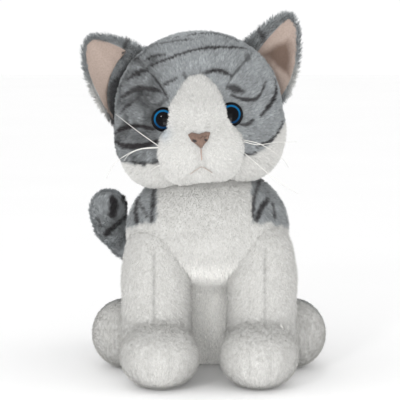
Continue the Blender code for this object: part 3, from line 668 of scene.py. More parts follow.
# ---- cloth ----
def puff(points, rows, columns, pinned):
    """How far a skin's points move when it swells under pressure, held at its pinned seams."""
    piece = new_piece("cloth_trial", points, grid_faces(rows, columns), MATERIALS["skin"])
    outward(piece.data)
    group = piece.vertex_groups.new(name="seams")
    group.add([int(index) for index in np.flatnonzero(pinned)], 1.0, "REPLACE")
    cloth = piece.modifiers.new("cloth", "CLOTH")
    settings = cloth.settings
    settings.vertex_group_mass = "seams"
    settings.use_pressure = True
    settings.uniform_pressure_force = 40.0
    settings.tension_stiffness = settings.compression_stiffness = 10.0
    settings.shear_stiffness = 4.0
    settings.bending_stiffness = 0.05
    settings.mass = 0.05
    settings.quality = 5
    settings.effector_weights.gravity = 0.0
    cloth.point_cache.frame_start = 1
    cloth.point_cache.frame_end = CLOTH_FRAMES
    scene = bpy.context.scene
    for number in range(1, CLOTH_FRAMES + 1):
        scene.frame_set(number)
    solved = piece.evaluated_get(bpy.context.evaluated_depsgraph_get())
    moved = point_places(solved.to_mesh()) - points
    solved.to_mesh_clear()
    mesh = piece.data
    bpy.data.objects.remove(piece, do_unlink=True)
    bpy.data.meshes.remove(mesh)
    scene.frame_set(1)
    length = np.linalg.norm(moved, axis=1, keepdims=True)
    return moved * np.minimum(1.0, PUFF_LIMIT / np.maximum(length, 1e-6))


def spread_over(moved, rows, columns, every):
    """Movements of a coarse grid, spread smoothly over the fine grid that it was picked from."""
    coarse_rows, coarse_columns = (rows + 1) // every - 1, columns // every
    grid = moved[1:-1].reshape(coarse_rows, coarse_columns, 3)
    ends = [np.repeat(moved[k][None, None], coarse_columns, axis=1) for k in (0, -1)]
    grid = np.concatenate([ends[0], grid, ends[1]], axis=0)
    row, column = np.arange(rows + 2) / every, np.arange(columns) / every
    r, c = np.minimum(row.astype(int), coarse_rows), column.astype(int)
    u, v = (row - r)[:, None, None], (column - c)[None, :, None]
    after = (c + 1) % coarse_columns
    fine = ((grid[r][:, c] * (1 - v) + grid[r][:, after] * v) * (1 - u)
            + (grid[r + 1][:, c] * (1 - v) + grid[r + 1][:, after] * v) * u)
    for _ in range(every):
        fine = (np.roll(fine, 1, axis=1) + 2 * fine + np.roll(fine, -1, axis=1)) / 4
        fine[1:-1] = (fine[:-2] + 2 * fine[1:-1] + fine[2:]) / 4
    return np.vstack([fine[0].mean(axis=0)[None], fine[1:-1].reshape(-1, 3), fine[-1].mean(axis=0)[None]])


class Skin:
    """A dense skin on a ray cage, with seams that are drawn in."""

    def __init__(self, blobs, cage, blend, size, place=None):
        """cage: start, end and axis; size: columns, cap rings and side rings."""
        self.blobs, self.blend = blobs, blend
        self.columns = size[0]
        origins, directions, self.rows = ray_cage(*cage, *size)
        self.flat = surface_points(origins, directions, blobs, blend, SKIN_INSET)
        self.place = place if place is not None else (lambda points: points)
        self.lift = np.zeros(len(self.flat))

    def seam(self, route, depth, width):
        """Draw the skin in along a route."""
        distance, _ = distance_to_route(self.flat, np.asarray(route, float))
        self.lift -= depth * np.exp(-(distance / width)**2)

    def swelled(self, points):
        """The points after the cloth simulation, which is held where the seams draw the skin in."""
        every = CLOTH_EVERY
        grid = np.arange(1, len(points) - 1).reshape(self.rows, self.columns)
        chosen = grid[every - 1::every, ::every]
        picked = np.concatenate([[0], chosen.ravel(), [len(points) - 1]])
        pinned = (self.lift[picked] < -0.35) | (points[picked, 2] < 3.0)
        moved = puff(points[picked], len(chosen), chosen.shape[1], pinned)
        return points + spread_over(moved, self.rows, self.columns, every)

    def build(self, name, paint, body, nodes):
        """Make the object, puffed between its seams, hang it on its body and hide the CAD nodes it stands
        for.
        """
        points = self.flat + slope_of(self.flat, self.blobs, self.blend) * self.lift[:, None]
        points = self.place(points)
        points = self.swelled(points)
        points[:, 2] = np.maximum(points[:, 2], FLOOR_GAP)
        piece = backing(name, points, grid_faces(self.rows, self.columns), paint)
        set_bake_map(piece.data, grid_bake_map(self.rows, self.columns))
        declare(piece, body, nodes)
        return piece


# ---- the head ----
def head_turned():
    """The head's roll, as a matrix whose rows are multiplied by points."""
    roll = math.radians(HEAD_ROLL)
    return np.array([
        [math.cos(roll), 0.0, -math.sin(roll)],
        [0.0, 1.0, 0.0],
        [math.sin(roll), 0.0, math.cos(roll)],
    ])


def head_to_world(points):
    """From the head's own frame to the row frame."""
    return np.asarray(points, float) @ head_turned() + HEAD_CENTRE


def world_to_head(points):
    """From the row frame to the head's own frame."""
    return (np.asarray(points, float) - HEAD_CENTRE) @ head_turned().T


# The white blaze, which widens into the muzzle: x and z in the head's own frame.
BLAZE = (
    (-4.6, 25.5), (2, 26.6), (8.3, 24.6), (14.3, 17.1), (18.1, 9.7), (20.6, 1), (20.8, -6.2),
    (23.8, -11), (29.1, -17.7), (31.4, -25.1), (30.6, -33.9), (25, -46), (12, -56), (-12, -56),
    (-26, -47), (-31, -38), (-31.8, -27), (-29, -16.5), (-23.4, -10.3), (-21.7, -3.3), (-21.4, 4),
    (-17.1, 10.7), (-10.7, 20.3),
)
# Where grey ends and the white lower face begins: height against x.
LOWER_X = (-66, -58, -48, -32, 31, 39, 44, 51, 56, 61, 66)
LOWER_Z = (-32, -35, -36.5, -36.5, -35, -34.5, -32, -28, -22, -16, -12)
# Dark strokes on the front, print and, where noted, painted shade: x and z along each; half width;
# strength.
STROKES = (
    (((-6, 52.8), (4, 53.9), (15, 53.1), (25, 50.1), (33, 45.9)), 1.3, 0.85),
    (((-28, 48.4), (-11, 50.3), (6, 51)), 1.0, 0.75),
    (((-19, 51.8), (-11, 52.8)), 0.9, 0.6),
    (((-38, 36.9), (-30, 40.4), (-21, 41.7)), 1.4, 0.75),
    (((-36, 32.9), (-21, 37.9), (-6, 42.1), (7, 43.8), (20, 43.6), (31, 42.3), (38, 40.6)), 1.5, 0.95),
    (((5, 27), (10, 27.9), (15.7, 27.8), (21.4, 26), (26.3, 23.2)), 1.8, 0.95),
    (((3.6, 31), (3.2, 27)), 0.8, 0.6),
    (((-8.3, 28), (-7.5, 24)), 1.5, 0.55),
    (((-24.6, 18.6), (-20, 22.2), (-14, 24.6)), 0.9, 0.8),
    (((22.5, 15.5), (27, 14), (32, 11.5)), 3.3, 0.85),
    # painted shade along the groove of the right seam
    (((42, 38), (35, 31.7), (27, 24), (22, 17)), 0.8, 0.6),
    (((-21.5, 11), (-27, 7), (-33, 7)), 1.6, 0.5),
    (((23.8, 9.9), (30.9, 6.4), (40.3, 4.8), (45.8, 9.2), (50.1, 16.6)), 1.4, 0.9),
    (((57, 17), (57.3, 9.8), (54.4, 3.1), (49, -2.8), (44.5, -7.1)), 1.9, 0.95),
    (((60.7, -13), (57, -20), (50.6, -25.4), (42, -27.9)), 1.4, 0.9),
    (((29.6, -11.2), (34, -12.2), (38.4, -9.7)), 1.5, 0.85),
    (((31, -33.5), (35.3, -34.6), (39.4, -33)), 1.6, 0.85),
    (((-56, 11.9), (-49.4, 15.6), (-43.1, 18.3), (-35, 18.2), (-26.2, 16.2)), 2.4, 0.85),
    (((-57, 0.5), (-52.3, 5.5), (-48.3, 7.7), (-41.9, 13.2)), 1.5, 0.75),
    (((-62, -15), (-56.4, -10.4), (-44.8, -8.1), (-33.2, -10.7)), 2.0, 0.95),
    (((-62, -19.5), (-57.2, -21.8), (-51.1, -22.6), (-39.8, -21.9), (-31.6, -19.3)), 2.4, 0.95),
    (((-54.4, -33.4), (-44.7, -35.2), (-36.7, -36.6), (-32.8, -34.8)), 1.3, 0.8),
    (((-49.7, 24.8), (-41.8, 29.6), (-35.7, 30.8)), 2.6, 0.8),
    # painted shade along the groove of the left seam
    (((-35, 31.5), (-29.3, 24.9), (-24.7, 17.5), (-21.5, 10.9)), 0.9, 0.85),
    # painted shade: these two wide, faint strokes darken the left side of the face
    (((-48, 10), (-36, 12), (-30, 6)), 7.0, 0.35),
    (((-60, -16), (-46, -15), (-34, -16)), 7.0, 0.2),
    (((40, 37), (37, 33)), 2.2, 0.6),
    (((-44, 40), (-38, 35)), 2.4, 0.6),
)
SEAMS = (
    ((-40, 36), (-29.3, 24.9), (-21.5, 9)),
    ((42.2, 38), (35, 31.7), (24.1, 21), (19, 10)),
)


def cast_on_head(x, z, way=-1.0):
    """A point on the front (way -1) or the back (way 1) of the head form, in its own frame."""
    origin = np.array([[x, 0.0, z]])
    return surface_points(origin, np.array([[0.0, way, 0.0]]), HEAD_BLOBS, HEAD_BLEND, SKIN_INSET)[0]


def face_route(stops, steps=14, way=-1.0):
    """A smooth curve over the face through (x, z) stops."""
    return np.array([cast_on_head(x, z, way) for x, z in smooth_route(stops, steps)])


def blaze_depth(local):
    """How far inside the white blaze each point is; negative outside it and behind."""
    depth = inside_outline(local[:, [0, 2]], BLAZE)
    return np.where(local[:, 1] < -8, depth, -20.0)


def back_strokes():
    """Bars across the back of the head, broken along the middle by a darker stripe."""
    strokes = []
    for number, height in enumerate((38, 26, 14, 2, -10)):
        reach = 44 - 2.5 * abs(number - 1)
        for side in (-1, 1):
            stops = ((side * 5, height + 4), (side * reach * 0.5, height + 1),
                     (side * reach, height - 7))
            strokes.append((face_route(stops, 9, 1.0), 2.0, 0.85))
    strokes.append((face_route(((0, 50), (1, 34), (-1, 14), (0, -16)), 12, 1.0), 2.6, 0.7))
    return strokes


def paint_head(points):
    """Colours of the head's plush, and which places are white."""
    local = on_form(world_to_head(points), HEAD_BLOBS, HEAD_BLEND)
    points = head_to_world(local)
    edge = wobble(points, 3.0, 1) * 0.9
    low = np.interp(local[:, 0], LOWER_X, LOWER_Z) - step_between(0, 30, local[:, 1]) * 14
    white = np.maximum(step_between(-0.9, 0.9, blaze_depth(local) + edge),
                       step_between(1.2, -1.2, local[:, 2] - low + edge * 1.2))
    dark = np.zeros(len(points))
    for route, half, strength in HEAD_STROKES:
        distance, along = distance_to_route(local, route)
        taper = 0.45 + 0.55 * np.sin(np.pi * np.clip(along, 0.06, 0.94))
        soft = 0.5 + half * 0.3
        amount = step_between(half * taper + soft, half * taper - soft, distance + edge * 0.5)
        dark = np.maximum(dark, strength * amount)
    # painted shade: the left side of the face is darkened, in mottled patches
    left = step_between(-16, -36, local[:, 0]) * step_between(20, -10, local[:, 1])
    patches = 0.30 + 0.34 * step_between(-0.3, 0.6, wobble(points, 7.0, 3)) + 0.1 * wobble(points, 2.5, 4)
    base = GREY[None] * (1 - patches * left)[:, None] * (1 + 0.12 * wobble(points, 9.0, 2)[:, None])
    # painted highlight: the grey is lightened towards pale grey on top of the forehead
    centre = step_between(30, 0, np.abs(local[:, 0])) * step_between(20, 40, local[:, 2])
    base = base + (PALE_GREY - GREY) * 0.35 * centre[:, None]
    grey = base + (DARK - base) * dark[:, None]
    blue = 0.16 * np.exp(-np.linalg.norm(local[:, [0, 2]] - (-23.5, -14.5), axis=1)**2 / 22)
    blue = blue * (local[:, 1] < 0)
    # painted shade: the white is darkened on the upper blaze, which faces the light
    brow = 1 - 0.10 * step_between(-6, 12, local[:, 2])
    pale = WHITE[None] * (1 - blue[:, None] * np.array([1.6, 1.2, 0.8])) * brow[:, None]
    colours = grey + (pale - grey) * white[:, None]
    return colours, white > 0.5


def shape_face(skin):
    """Puff the blaze, draw in the seams, round the cheeks and press in the eyes and mouth."""
    flat = skin.flat
    inside = blaze_depth(flat)
    muzzle = step_between(-8, -20, flat[:, 2])
    beside_eye = sum(np.exp(-np.linalg.norm(flat[:, [0, 2]] - EYES[side], axis=1)**2 / 120.0)
                     for side in (-1, 1)) * (flat[:, 1] < 0)
    softness = 2.6 - 1.5 * np.clip(beside_eye, 0, 1)
    height = 3.0 + 1.0 * muzzle + 1.4 * beside_eye
    skin.lift += np.where(inside > 0, height * (1 - np.exp(-inside / softness)), 0.0)
    skin.lift -= 0.9 * np.exp(-(inside / 1.8)**2) * (inside > -6)
    for stops in SEAMS:
        skin.seam(face_route(stops), 1.3, 2.0)
    skin.seam(face_route(((-62, -33), (-48, -36.5), (-32, -36.5))), 0.7, 2.2)
    for side in (-1, 1):
        x, z = EYES[side]
        away = np.linalg.norm(flat - cast_on_head(x, z), axis=1)
        skin.lift -= 2.6 * np.exp(-(away / 8.8)**4) * step_between(1.5, -0.5, inside)
        brow = cast_on_head(x + side * 4, z + 13)
        skin.lift += 1.3 * np.exp(-(np.linalg.norm(flat - brow, axis=1) / 7.5)**2)
        pad = cast_on_head(side * 13, -31)
        skin.lift += 2.0 * np.exp(-(np.linalg.norm(flat - pad, axis=1) / 10.5)**2)
    skin.seam(face_route(((0, -25), (0, -31), (0, -37)), 6), 2.2, 3.0)
    skin.seam(face_route(((-10, -44), (-4.5, -40.4), (0, -38.4), (4.5, -40.4), (9, -44)), 9), 1.8, 2.4)
    chin = cast_on_head(0, -48)
    skin.lift += 1.6 * np.exp(-(np.linalg.norm(flat - chin, axis=1) / 9.0)**2)
    jaw = step_between(-34, -50, flat[:, 2]) * step_between(30, 0, flat[:, 1])
    skin.lift += jaw * (2.6 - 0.8 * step_between(-20, 20, flat[:, 0]))


def head_comb(points, normals):
    """The pile runs from the nose outwards and back."""
    local = world_to_head(points)
    away = local - np.array([0.0, -52.0, -14.0])
    away[:, 2] *= 1.1
    return unit(away) @ head_turned()


def head_keep(points, normals):
    """No strands under the eyes or the nose."""
    local = world_to_head(points)
    kept = np.ones(len(points), bool)
    for side in (-1, 1):
        centre = cast_on_head(*EYES[side])
        covered = np.linalg.norm(local - centre, axis=1) < EYE_RADIUS + 0.4
        kept &= ~covered | (blaze_depth(local) > 0.6)
    on_nose = inside_outline(local[:, [0, 2]], NOSE_OUTLINE) > 0.4
    return kept & ~(on_nose & (local[:, 1] < 0))


def head_lengths(points, normals):
    """The muzzle and blaze are clipped short, and the sides and back are longer."""
    local = world_to_head(points)
    face = step_between(-10, 6, blaze_depth(local))
    threads = np.ones(len(points))
    for route in MOUTH_ROUTES:
        distance, _ = distance_to_route(local, route)
        threads *= 0.45 + 0.55 * step_between(0.6, 3.2, distance)
    return (1.0 - 0.38 * face) * threads


NOSE_OUTLINE = ((-8.6, -18.2), (-8.2, -15.6), (-5.4, -14.3), (-0.6, -15.8), (4.4, -14.5),
                (7.6, -15.2), (8.1, -18.0), (6.6, -20.4), (4.2, -21.8), (1.8, -24.4),
                (-0.6, -24.8), (-3.4, -22.6), (-5.4, -21.2), (-7.6, -20.2))


MOUTH = ((-9.1, -43.4), (-4.9, -40.6), (-0.8, -38.6), (3.2, -40.2), (7.2, -43.8))


def make_head():
    """The head's skin and coat."""
    skin = Skin(HEAD_BLOBS, ((-14, 0, -4), (14, 0, -4), (1, 0, 0)), HEAD_BLEND, (200, 56, 20),
                head_to_world)
    shape_face(skin)
    nodes = ("forehead_blaze", "muzzle_panel", "chin_panel", "cheek_left", "cheek_right",
             "crown_panel", "nape_panel", "face_side_left", "face_side_right")
    piece = skin.build("head_skin", paint_head, "head", nodes)
    grow_fur("head_fur", piece, Coat(3.4, 2.1, 0.32), paint_head, head_comb, head_keep, "head",
             ("white_plush", "grey_plush"), head_lengths, 1)
    return piece


# ---- eyes, nose, mouth and whiskers ----
class Face:
    """Finds places on the finished head skin."""

    def __init__(self, skin):
        points = point_places(skin.data)
        faces = [tuple(face.vertices) for face in skin.data.polygons]
        self.tree = BVHTree.FromPolygons([tuple(p) for p in points], faces)

    def at(self, x, z, lift=0.0):
        """The skin at x and z of the head's frame, lifted off it, in the row frame."""
        origin = head_to_world(np.array([x, -140.0, z]))
        ahead = head_to_world(np.array([x, -139.0, z])) - origin
        place, normal, _, _ = self.tree.ray_cast(Vector(origin), Vector(ahead))
        normal = np.array(normal)
        if normal @ ahead > 0:
            normal = -normal
        return np.array(place) + normal * lift

    def route(self, stops, steps, lift):
        """A smooth curve over the skin."""
        return np.array([self.at(x, z, lift) for x, z in smooth_route(stops, steps)])


def make_eyes():
    """Domed safety eyes: a black flange and pupil, and a blue iris between them."""
    step = 2.0
    rings = 40
    sides = 72
    for side, name in SIDES:
        x, z = EYES[side]
        seat = cast_on_head(x, z)
        along = cast_on_head(x + step, z) - seat
        above = cast_on_head(x, z + step) - seat
        out = unit(unit(np.cross(along, above)) + np.array([0, -5.0, 0.4]))
        seat = seat - out * EYE_SINK
        axis, across, upward = axes_across(out)
        angles = np.linspace(math.pi / 2, -0.35 * math.pi, rings)
        radii = EYE_RADIUS * np.cos(angles)
        heights = 0.6 + np.where(angles > 0, EYE_DOME, EYE_SHANK) * np.sin(angles)
        turns = 2 * math.pi * np.arange(sides) / sides
        spokes = np.cos(turns)[:, None] * upward + np.sin(turns)[:, None] * across
        points = [seat + axis * heights[0]]
        for radius, height in zip(radii[1:], heights[1:]):
            points += list(seat + axis * height + spokes * radius)
        points.append(seat + axis * (heights[-1] - 0.2))
        points = np.array(points)
        piece = new_piece("eye_dome_" + name, head_to_world(points),
                          grid_faces(rings - 1, sides), MATERIALS["eye"])
        from_axis = np.linalg.norm(np.cross(points - seat, axis), axis=1)
        iris = step_between(*IRIS_EDGES[0], from_axis) * step_between(*IRIS_EDGES[1], from_axis)
        iris *= (points - seat) @ axis > 0.6
        low = step_between(0.35, -0.75, (points - seat) @ upward / EYE_RADIUS)[:, None]
        blue = IRIS_TOP * (1 - low) + IRIS_LOW * low
        set_tint(piece.data, PUPIL + (blue - PUPIL) * iris[:, None])
        set_bake_map(piece.data, grid_bake_map(rings - 1, sides))
        declare(piece, "head", ["eye_" + name])


def make_nose(face):
    """A nose in satin stitch: threads that fan from the notched top to the tip."""
    outline = np.array(NOSE_OUTLINE)
    parts = []
    for x in np.arange(-8.0, 7.6, 0.52):
        crossing = []
        for a, b in zip(outline, np.roll(outline, -1, axis=0)):
            if (a[0] > x) != (b[0] > x):
                crossing.append(a[1] + (b[1] - a[1]) * (x - a[0]) / (b[0] - a[0]))
        if len(crossing) < 2:
            continue
        high, low = max(crossing), min(crossing)
        stops = [(x * (1 - 0.25 * t), high + (low - high) * t) for t in (0.0, 0.5, 1.0)]
        bulge = 1.1 + 1.5 * (1 - (x / 8.6)**2)
        route = []
        for k, (sx, sz) in enumerate(smooth_route(stops, 9)):
            t = k / 8
            lift = 0.6 + bulge * math.sin(math.pi * min(max(t, 0.04), 0.96))**0.45
            route.append(face.at(sx, sz, lift))
        parts.append(tube_mesh(route, 0.36, 7))
    piece = new_piece("nose_stitches", *joined(parts), MATERIALS["nose"])
    declare(piece, "head", ["nose"])
    pits = []
    for x, size in ((-3.9, 1.25), (3.9, 0.9)):
        stops = ((x - size, -19.1), (x, -20.0), (x + size, -19.7))
        radii = np.array((0.3, 0.8, 0.95, 1.0, 0.95, 0.7, 0.3)) * size * 0.8
        pits.append(tube_mesh(face.route(stops, 7, 3.2), radii, 8))
    piece = new_piece("nostril_stitches", *joined(pits), MATERIALS["nostril"])
    declare(piece, "head")


def make_mouth(face):
    """The thread below the nose, and the mouth in two long stitches."""
    threads = (
        ("philtrum_stitch", "philtrum_thread", ((0, -25.6), (-0.3, -29), (0, -33.5)), 0.32, "mouth"),
        ("mouth_stitch", "mouth_thread", MOUTH, 0.3, "lip"),
    )
    for name, node, stops, radius, material in threads:
        piece = new_piece(name, *tube_mesh(face.route(stops, 22, 1.1), radius, 7), MATERIALS[material])
        declare(piece, "head", [node])


# Each whisker from its root on the muzzle, as x and z in the head's own frame.
WHISKERS = {
    "whisker_left_1": ((-26.8, -25.7), (-44.3, -11.6), (-60.3, 1.2)),
    "whisker_left_2": ((-25.9, -24.3), (-38.3, -23.5), (-49.6, -25.8), (-62.9, -33.8), (-70.4, -44.9)),
    "whisker_left_3": ((-28.5, -24.2), (-42.8, -24.3), (-52, -27.8), (-56.7, -33.1)),
    "whisker_left_4": ((-27, -36), (-34, -38.5), (-41, -44)),
    "whisker_right_1": ((30.2, -22.6), (43.9, -27.3), (58, -38.6), (62.8, -46.4)),
    "whisker_right_2": ((30.1, -23.7), (40.9, -27), (54.4, -26.8), (69.7, -28.1)),
    "whisker_right_3": ((31, -32.7), (53.9, -55.1), (68.4, -66.3)),
}
WHISKER_END = -30.0     # how far forward the ends lie


def make_whiskers():
    """Fine bristles that bow forward from the muzzle and then sweep back beside the cheeks."""
    for name, places in WHISKERS.items():
        root = cast_on_head(*places[0])[1]
        stops = []
        for number, (x, z) in enumerate(places):
            t = number / (len(places) - 1)
            stops.append((x, root + (WHISKER_END - root) * t - 24 * t * (1 - t), z))
        points, faces = tube_mesh(head_to_world(smooth_route(stops, 26)), np.linspace(0.36, 0.14, 26), 8)
        piece = new_piece(name + "_bristle", points, faces, MATERIALS["bristle"])
        declare(piece, "head", [name])


# ---- the ears ----
# Each ear's outer and inner edges in the head's own frame, as base, bend and tip, mirrored for the left.
EAR_EDGES = {
    -1: (((66, -4), (88, 30), (81, 54)), ((37, 45), (54, 56.5), (75, 58.5))),
    1: (((61, -1), (82, 22.5), (77, 61)), ((37, 44), (55.3, 60.5), (70.5, 65))),
}
# Painted shade in the hollow of each lining, where its fold casts a shadow, as x and z on the right.
EAR_PAINTED_SHADES = {
    -1: ((46, 45), (53, 42), (59, 35), (65, 25), (69.5, 14), (68, 2), (52, 2), (44, 20)),
    1: ((50, 36), (60, 42), (70, 45.5), (73, 37), (71.5, 26), (70, 18), (61, 24)),
}
# The lining's distance from the outer and the inner edge, and how far across it reaches at the base.
LINING_MARGINS = {-1: (1.4, 5.0, 0.09), 1: (1.2, 8.0, 1.0)}
LINING_TOP = 0.93
EAR_THICKNESS = 5.0
EAR_BOW = 9.0           # how far the base bows outward
EAR_CUP = 15.0          # how deep the hollow is
EAR_FOLD = 5.0          # a fold near the inner edge
EAR_BLUNT = 0.88        # how far up the ear its tip begins to round off


def quadratic(start, bend, end, t):
    """A point of a quadratic curve."""
    start, bend, end = (np.array(point, float) for point in (start, bend, end))
    return start * (1 - t)**2 + bend * 2 * t * (1 - t) + end * t**2


def lining_span(side, up):
    """How far across the ear the lining begins and ends at this height."""
    outer_edge, inner_edge = EAR_EDGES[side]
    width = np.linalg.norm(quadratic(*outer_edge, up) - quadratic(*inner_edge, up))
    near, far, base = LINING_MARGINS[side]
    far = 1 - far * (1 - 0.5 * up) / width
    return near / width, min(far, base + 18.0 * max(up, 0.0)**2)


def ear_point(side, across, up, depth):
    """A point of a cupped ear: across from the outer edge to the inner one, up to the tip."""
    outer_edge, inner_edge = EAR_EDGES[side]
    outer = quadratic(*outer_edge, up)
    inner = quadratic(*inner_edge, up)
    past = min(max((up - EAR_BLUNT) / (1 - EAR_BLUNT), 0.0), 1.0)
    flat = outer + (inner - outer) * (0.5 + (across - 0.5) * math.sqrt(1 - past**2))
    bow = 4 * across * (1 - across)
    flat = flat + np.array([0.87, 0.5]) * EAR_BOW * bow * (1 - up)**2
    fold = EAR_FOLD * math.exp(-((across - 0.74) / 0.13)**2) * (1 - up)
    back = 3.0 + EAR_CUP * bow * (1 - up)**0.6 + 3.0 * up + fold
    return np.array([side * flat[0], back + depth, flat[1]])


def ear_paint(side):
    """Grey, with a dark bar near the root, painted shade low on the inner side of the left ear next to the
    head, and a pale fringe low outside.
    """
    def paint(points):
        local = world_to_head(points)
        base = GREY[None] * (1.0 + 0.12 * wobble(points, 6.0, 11)[:, None])
        bar = np.exp(-(((side * local[:, 0] - 50) + (local[:, 2] - 52) * 0.5) / 2.2)**2) * 0.75
        # painted shade: the left ear darkens low on its inner side, between its lining and the head
        left_ear_shade = step_between(92, 85, side * local[:, 0] + 1.07 * local[:, 2]) * 0.8 * (side < 0)
        left_ear_shade = left_ear_shade * step_between(46, 38, local[:, 2])
        # the dark bar and the painted shade together
        bar = np.maximum(bar * (local[:, 2] > 40), left_ear_shade)
        colours = base + (DARK - base) * bar[:, None]
        outer = step_between(64, 72, side * local[:, 0]) * step_between(34, 16, local[:, 2])
        pale = colours + (WHITE * 0.92 - colours) * (outer * 0.85)[:, None]
        return pale, np.zeros(len(points), bool)
    return paint


def make_ear(side, name):
    """A thick cupped ear: a plush shell and a velour lining in its hollow."""
    sides, rings = 64, 30
    turns = 2 * math.pi * np.arange(sides) / sides
    rows = []
    for ring in range(rings):
        up = -0.10 + 1.095 * ring / (rings - 1)
        squeeze = math.sqrt(max(1 - max(up, 0)**6, 0.02))
        for turn in turns:
            across = 0.5 - 0.5 * math.cos(turn)
            depth = EAR_THICKNESS / 2 * math.sin(turn) * squeeze
            rows.append(ear_point(side, across, up, depth + 0.8))
    points = np.vstack([[ear_point(side, 0.5, -0.10, 0.8)], rows, [ear_point(side, 0.5, 1.0, 0.8)]])
    faces = grid_faces(rings, sides)
    if side < 0:
        faces = [tuple(reversed(face)) for face in faces]
    paint = ear_paint(side)
    shell = backing("ear_shell_" + name, head_to_world(points), faces, paint)
    declare(shell, "ear_" + name, ["ear_back_" + name])
    make_lining(side, name)

    def comb(points, normals):
        away = world_to_head(points) - np.array([side * 56.0, 8.0, 16.0])
        away[:, 1] *= 0.3
        return unit(away) @ head_turned()

    def keep(points, normals):
        local = world_to_head(points)
        facing = (normals @ head_turned().T)[:, 1] < -0.35
        flat = local[:, [0, 2]] * np.array([side, 1])
        covered = facing & (inside_outline(flat, lining_outline(side)) > 0.8)
        return ~covered

    def longer(points, normals):
        local = world_to_head(points)
        flat = local[:, [0, 2]] * np.array([side, 1])
        rim = step_between(6, 1, inside_outline(flat, ear_outline(side)))
        return 0.85 + 0.65 * rim

    grow_fur("ear_fur_" + name, shell, Coat(3.6, 3.4, 0.32, 42, 18), paint, comb, keep, "ear_" + name,
             ("white_plush", "grey_plush"), longer, 20 + side)


def seen_outline(side, places):
    """Places on an ear, as across and up, seen from the front as x and z on the right."""
    points = np.array([ear_point(side, across, up, 0.0) for across, up in places])
    return points[:, [0, 2]] * np.array([side, 1])


def ear_outline(side):
    """The outline of an ear seen from the front."""
    ups = np.linspace(0.0, 0.99, 12)
    return seen_outline(side, [(0.0, up) for up in ups] + [(1.0, up) for up in ups[::-1]])


def lining_outline(side):
    """The outline of its lining."""
    ups = np.linspace(-0.05, LINING_TOP, 14)
    spans = [(lining_span(side, up), up) for up in ups]
    return seen_outline(side, [(span[0], up) for span, up in spans]
                        + [(span[1], up) for span, up in spans[::-1]])


def make_lining(side, name):
    """A velour sheet that lies in the ear's hollow, with its edge sunk into the rim."""
    wide, tall = 40, 34
    sheets = []
    for layer in (0, 1):
        for row in range(tall + 1):
            up = -0.05 + (LINING_TOP + 0.05) * row / tall
            near, far = lining_span(side, up)
            for column in range(wide + 1):
                across = near + (far - near) * column / wide
                bulge = math.sqrt(max(1 - (2 * across - 1)**2, 0))
                rim = min(column, wide - column, tall - row) / 4
                sunk = 1.5 * math.exp(-rim)
                depth = 0.8 - EAR_THICKNESS / 2 * bulge - 0.9 + sunk + 0.8 * layer
                sheets.append(ear_point(side, across, up, depth))
    width = wide + 1
    top = [(r * width + c, r * width + c + 1, (r + 1) * width + c + 1, (r + 1) * width + c)
           for r in range(tall) for c in range(wide)]
    count = (tall + 1) * width
    rim = list(range(wide)) + [r * width + wide for r in range(tall)]
    rim += [tall * width + c for c in range(wide, 0, -1)] + [r * width for r in range(tall, 0, -1)]
    faces = list(top) + [tuple(count + index for index in reversed(face)) for face in top]
    for a, b in zip(rim, rim[1:] + rim[:1]):
        faces.append((b, a, count + a, count + b))
    points = np.array(sheets)
    piece = new_piece("ear_velour_" + name, head_to_world(points), faces, MATERIALS["lining"])
    outward(piece.data)
    flat = points[:, [0, 2]] * np.array([side, 1]) + wobble(points, 5.0, 60)[:, None] * 0.8
    # painted shade: the pink lining darkens to a brown shadow in its hollow
    shade = step_between(-2.5, 4.0, inside_outline(flat, EAR_PAINTED_SHADES[side])) * 0.95
    set_tint(piece.data, PINK + (PINK_PAINTED_SHADE - PINK) * shade[:, None])
    declare(piece, "ear_" + name, ["ear_lining_" + name])


# ---- the trunk ----
def round_the_trunk(points):
    """Degrees from the front about the upright middle of the trunk, and the side, -1 or 1."""
    middle = np.interp(points[:, 2], (30, 120), (-2, -54))
    return np.degrees(np.arctan2(np.abs(points[:, 0]), -(points[:, 1] - middle))), np.sign(points[:, 0])


# Dark streaks on the shoulders: the middle of each in millimetres; half width; strength.
SHOULDER_MARKS = (
    (((-57, -68, 134), (-56, -76, 126), (-54, -84, 118)), 2.4, 0.95),
    (((-42, -74, 141), (-42, -86, 130), (-43, -92, 119)), 1.5, 0.9),
    (((-53, -74, 131), (-49, -84, 126), (-45, -89, 121)), 1.2, 0.7),
    (((38, -64, 146), (35, -80, 140), (33, -89, 132), (32, -94, 123)), 1.5, 0.9),
    (((44, -79, 134), (39, -88, 128), (35, -93, 120)), 1.8, 0.95),
    (((49, -78, 131), (50, -84, 121)), 1.4, 0.85),
    (((41, -68, 143), (46, -74, 137)), 1.0, 0.5),
)


